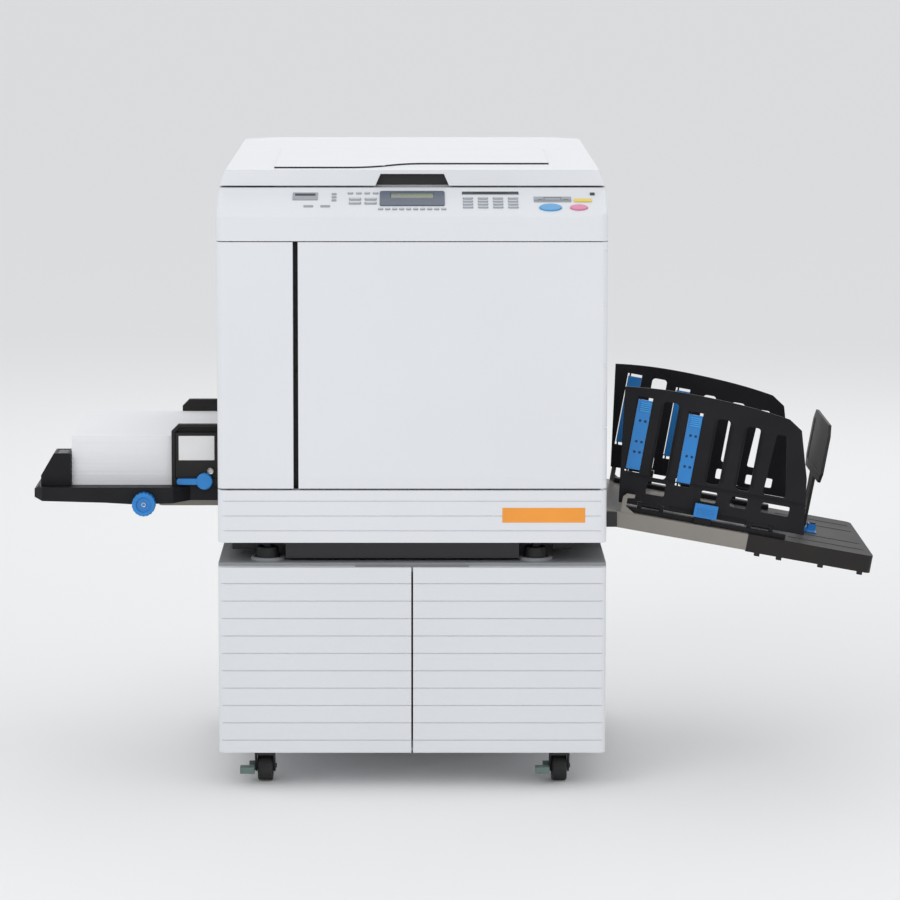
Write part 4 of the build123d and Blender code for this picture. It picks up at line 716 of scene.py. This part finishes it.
class DUPLICATOR_OT_fence_details(bpy.types.Operator):
    """Fin caps, painted shade at each fin hole, beads, latches, stopper insert and tray ribs on the receiving
    side
    """

    bl_idname = "duplicator.fence_details"
    bl_label = "Receiving side details"

    fin_centres = (0.033, 0.122)
    fin_bottoms = (0.072, 0.062)
    fin_height = 0.120
    fin_face = 0.0025
    cap_half = 0.0095
    cap_margin = 0.004
    rib_count = 5
    rib_pitch = 0.0034
    rib_width = 0.0022
    rib_height = 0.0016
    hole_heights = (0.030, 0.048, 0.084)
    hole_shift = 0.0045
    hole_radius = 0.0023
    hole_thickness = 0.0004
    fence_half = 0.151
    fence_skin = 0.002
    bead_height = 0.0022
    latch_face = 0.0152
    # Fence slots: from and to along the tray, lower and upper end
    slots = (
        (0.0645, 0.091, 0.063, 0.196),
        (0.1595, 0.1825, 0.070, 0.183),
        (0.2115, 0.2355, 0.069, 0.179),
    )
    bead_width = 0.002
    bead_inset = 0.006
    bead_before = 0.0032
    bead_after = 0.0012
    long_bead = (0.028, 0.336, 0.0615)
    foot_bead = (0.105, 0.240)
    foot_bead_low = {"front": 0.0175, "rear": 0.0315}
    latch_plate = (0.146, 0.186, 0.012, 0.036)
    latch_thickness = 0.0022
    latch_rib = (0.151, 0.181, 0.016)
    latch_rib_pitch = 0.005
    latch_rib_width = 0.0022
    latch_rib_height = 0.0009
    # Blocks in the tray's frame: from and to along, across and up
    insert_block = (0.3548, 0.3556, -0.089, 0.089, 0.116, 0.181)
    latch_top_block = (0.367, 0.377, -0.008, 0.008, 0.0118, 0.0135)
    tray_rib_ends = (0.318, 0.450)
    tray_rib_places = (-0.12, -0.06, 0.06, 0.12)
    tray_rib_half = 0.0012
    tray_rib_low = -0.0002
    tray_rib_top = 0.00022

    def execute(self, context):
        place = tray_place()
        for side, name in ((-1, "front"), (1, "rear")):
            self.fins(side, name, place)
            self.beads(side, name, place)
            self.latch(side, name, place)
        self.stopper_insert(place)
        self.stopper_latch(place)
        self.tray_ribs(place)
        return {"FINISHED"}

    def fins(self, side, name, place):
        tone = colours()
        cap_paint = finish("fin_cap_blue", tone.cap_blue)
        hole_shade_paint = finish("fin_hole_painted_shade", tone.painted_fin_hole_shade)
        for index, label in enumerate(("inner", "outer")):
            centre = self.fin_centres[index]
            bottom = self.fin_bottoms[index]
            y = side * (self.fence_half + self.fin_face)
            out = side * self.rib_height
            near = centre - self.cap_half
            far = centre + self.cap_half
            parts = []
            for rib in range(self.rib_count):
                w = bottom + self.fin_height - self.cap_margin - rib * self.rib_pitch
                parts.append(self.slab(near, far, y, y + out, w - self.rib_width, w, place))
            body = f"{name}_fin_{label}"
            as_piece(f"{name}_fin_cap_{label}", merged(parts), body, cap_paint)
            # Each fin hole is a flat dark disc of painted shade on the fin's face
            hole_shade_discs = []
            for w in self.hole_heights:
                for shift in (-self.hole_shift, self.hole_shift):
                    spot = place @ Vector((centre + shift, y + side * 0.0001, bottom + w))
                    hole_shade_discs.append(disc(
                        spot, self.hole_radius, self.hole_thickness, (0, side, 0), sides=20, bevel=0.00008))
            as_piece(f"{name}_fin_hole_shades_{label}", merged(hole_shade_discs), body, hole_shade_paint)

    def slab(self, u0, u1, y0, y1, w0, w1, place, radius=0.0005):
        """Block in the tray's frame: u along the tray, y across it and w up from it."""
        y0, y1 = sorted((y0, y1))
        return rounded_box((u0, y0, w0), (u1, y1, w1), radius, segments=2, place=place)

    def beads(self, side, name, place):
        """Raised lips beside the slots on the fence's outer face."""
        y = side * (self.fence_half + self.fence_skin)
        out = side * self.bead_height
        parts = []
        for u0, u1, w0, w1 in self.slots:
            low = w0 + self.bead_inset
            high = w1 - self.bead_inset
            for u in (u0 - self.bead_before, u1 + self.bead_after):
                parts.append(self.slab(u, u + self.bead_width, y, y + out, low, high, place))
        near, far, low = self.long_bead
        parts.append(self.slab(near, far, y, y + out, low, low + self.bead_width, place))
        near, far = self.foot_bead
        low = self.foot_bead_low[name]
        parts.append(self.slab(near, far, y, y + out, low, low + self.bead_width, place))
        body = f"{name}_fence"
        as_piece(f"{name}_fence_beads", merged(parts), body, black_material())

    def latch(self, side, name, place):
        """Blue squeeze latch over the black clip of the fence's foot."""
        y0 = side * (self.fence_half + self.latch_face)
        y1 = y0 + side * self.latch_thickness
        y2 = y1 + side * self.latch_rib_height
        near, far, low, high = self.latch_plate
        parts = [self.slab(near, far, y0, y1, low, high, place, 0.0009)]
        near, far, lowest = self.latch_rib
        for rib in range(3):
            low = lowest + rib * self.latch_rib_pitch
            parts.append(self.slab(near, far, y1, y2, low, low + self.latch_rib_width, place))
        body = f"{name}_fence_foot"
        as_piece(f"{name}_fence_latch", merged(parts), body, blue_material())

    def stopper_insert(self, place):
        brass = finish("stopper_insert_brass", colours().brass)
        face = self.slab(*self.insert_block, place, 0.0003)
        as_piece("stopper_insert", face, "end_stopper", brass)

    def stopper_latch(self, place):
        top = self.slab(*self.latch_top_block, place)
        as_piece("stopper_latch_top", top, "end_stopper_foot", black_material())

    def tray_ribs(self, place):
        """Low guide ribs that run along the moulded outer tray."""
        u0, u1 = self.tray_rib_ends
        half = self.tray_rib_half
        low = self.tray_rib_low
        top = self.tray_rib_top
        parts = [self.slab(u0, u1, y - half, y + half, low, top, place, 0.0001) for y in self.tray_rib_places]
        dark = dark_material()
        as_piece("receiving_tray_ribs", merged(parts), "receiving_tray", dark)


class DUPLICATOR_OT_screws(bpy.types.Operator):
    """Recessed screws on the rear cover"""

    bl_idname = "duplicator.screws"
    bl_label = "Screws"

    from_side = 0.022
    from_end = 0.030
    radius = 0.0036
    height = 0.001
    ring = 0.0016
    sunk = 0.0002

    def execute(self, context):
        low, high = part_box("rear_cover")
        parts = []
        for x in (low.x + self.from_side, high.x - self.from_side):
            for z in (low.z + self.from_end, (low.z + high.z) / 2, high.z - self.from_end):
                centre = (x, high.y - self.sunk, z)
                parts.append(disc(centre, self.radius, self.height, (0, 1, 0), sides=24, inner=self.ring))
        as_piece("rear_screws", merged(parts), "machine", bare_material())
        return {"FINISHED"}


class DUPLICATOR_OT_stage(bpy.types.Operator):
    """Plain pale floor, soft light and the camera at the photograph's angle"""

    bl_idname = "duplicator.stage"
    bl_label = "Stage"

    def execute(self, context):
        self.floor()
        self.lamps()
        self.camera()
        self.world()
        context.scene.view_settings.view_transform = "Standard"
        return {"FINISHED"}

    def floor(self):
        mesh = bmesh.new()
        bmesh.ops.create_grid(mesh, x_segments=1, y_segments=1, size=400.0)
        data = bpy.data.meshes.new("floor")
        mesh.to_mesh(data)
        mesh.free()
        floor = bpy.data.objects.new("floor", data)
        bpy.context.scene.collection.objects.link(floor)
        material = bpy.data.materials.new("pale_floor")
        material.use_nodes = True
        shader = material.node_tree.nodes["Principled BSDF"]
        shader.inputs["Base Color"].default_value = (*bpy.context.scene.duplicator_stage.floor, 1)
        shader.inputs["Roughness"].default_value = 0.9
        shader.inputs["Specular IOR Level"].default_value = 0.1
        data.materials.append(material)

    def lamps(self):
        for name, place, power, size in (
            ("key_light", (-2.4, -3.6, 3.6), 52.0, 3.0),
            ("fill_light", (3.2, -2.6, 2.2), 14.0, 3.0),
            ("back_light", (0.4, 3.4, 3.2), 24.0, 3.0),
        ):
            lamp = bpy.data.lights.new(name, "AREA")
            lamp.energy = power
            lamp.size = size
            holder = bpy.data.objects.new(name, lamp)
            holder.location = place
            aim = Vector((0, 0, 0.55)) - Vector(place)
            holder.rotation_euler = aim.to_track_quat("-Z", "Y").to_euler()
            bpy.context.scene.collection.objects.link(holder)

    def camera(self):
        stage = bpy.context.scene.duplicator_stage
        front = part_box("front_cover")[0].y
        base_low, base_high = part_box("base_cover")
        middle_x = (base_low.x + base_high.x) / 2
        data = bpy.data.cameras.new("photo_camera")
        data.lens = stage.lens
        data.sensor_width = 36.0
        data.shift_x = stage.shift_x
        data.shift_y = stage.shift_y
        camera = bpy.data.objects.new("photo_camera", data)
        camera.location = (middle_x, front - stage.distance, stage.height)
        camera.rotation_euler = (math.pi / 2 - stage.tilt, 0, 0)
        bpy.context.scene.collection.objects.link(camera)
        bpy.context.scene.camera = camera

    def world(self):
        stage = bpy.context.scene.duplicator_stage
        world = bpy.data.worlds.new("studio")
        world.use_nodes = True
        tree = world.node_tree
        light = tree.nodes["Background"]
        light.inputs["Color"].default_value = (*stage.sky, 1)
        light.inputs["Strength"].default_value = stage.sky_strength
        shown = tree.nodes.new("ShaderNodeBackground")
        shown.inputs["Color"].default_value = (1, 1, 1, 1)
        shown.inputs["Strength"].default_value = 1.0
        rays = tree.nodes.new("ShaderNodeLightPath")
        mix = tree.nodes.new("ShaderNodeMixShader")
        tree.links.new(rays.outputs["Is Camera Ray"], mix.inputs["Fac"])
        tree.links.new(light.outputs["Background"], mix.inputs[1])
        tree.links.new(shown.outputs["Background"], mix.inputs[2])
        tree.links.new(mix.outputs["Shader"], tree.nodes["World Output"].inputs["Surface"])
        bpy.context.scene.world = world


class DUPLICATOR_PT_panel(bpy.types.Panel):
    bl_label = "Duplicator"
    bl_idname = "DUPLICATOR_PT_panel"
    bl_space_type = "VIEW_3D"
    bl_region_type = "UI"
    bl_category = "Duplicator"

    def draw(self, context):
        layout = self.layout
        for operator in OPERATORS:
            layout.operator(operator.bl_idname)
        for group in (colours(), sizes(), context.scene.duplicator_stage):
            box = layout.box()
            for name in group.__annotations__:
                box.prop(group, name)


OPERATORS = (
    DUPLICATOR_OT_finishes,
    DUPLICATOR_OT_amber_plate,
    DUPLICATOR_OT_panel,
    DUPLICATOR_OT_lid_details,
    DUPLICATOR_OT_paper,
    DUPLICATOR_OT_feed_details,
    DUPLICATOR_OT_fence_details,
    DUPLICATOR_OT_screws,
    DUPLICATOR_OT_stage,
)
CLASSES = (DuplicatorColours, DuplicatorSizes, DuplicatorStage, *OPERATORS, DUPLICATOR_PT_panel)


def register():
    for item in CLASSES:
        bpy.utils.register_class(item)
    bpy.types.Scene.duplicator_colours = PointerProperty(type=DuplicatorColours)
    bpy.types.Scene.duplicator_sizes = PointerProperty(type=DuplicatorSizes)
    bpy.types.Scene.duplicator_stage = PointerProperty(type=DuplicatorStage)


def unregister():
    del bpy.types.Scene.duplicator_stage
    del bpy.types.Scene.duplicator_sizes
    del bpy.types.Scene.duplicator_colours
    for item in reversed(CLASSES):
        bpy.utils.unregister_class(item)


def main():
    register()
    bpy.ops.duplicator.finishes()
    bpy.ops.duplicator.amber_plate()
    bpy.ops.duplicator.panel()
    bpy.ops.duplicator.lid_details()
    bpy.ops.duplicator.paper()
    bpy.ops.duplicator.feed_details()
    bpy.ops.duplicator.fence_details()
    bpy.ops.duplicator.screws()
    bpy.ops.duplicator.stage()


if __name__ == "__main__":
    main()
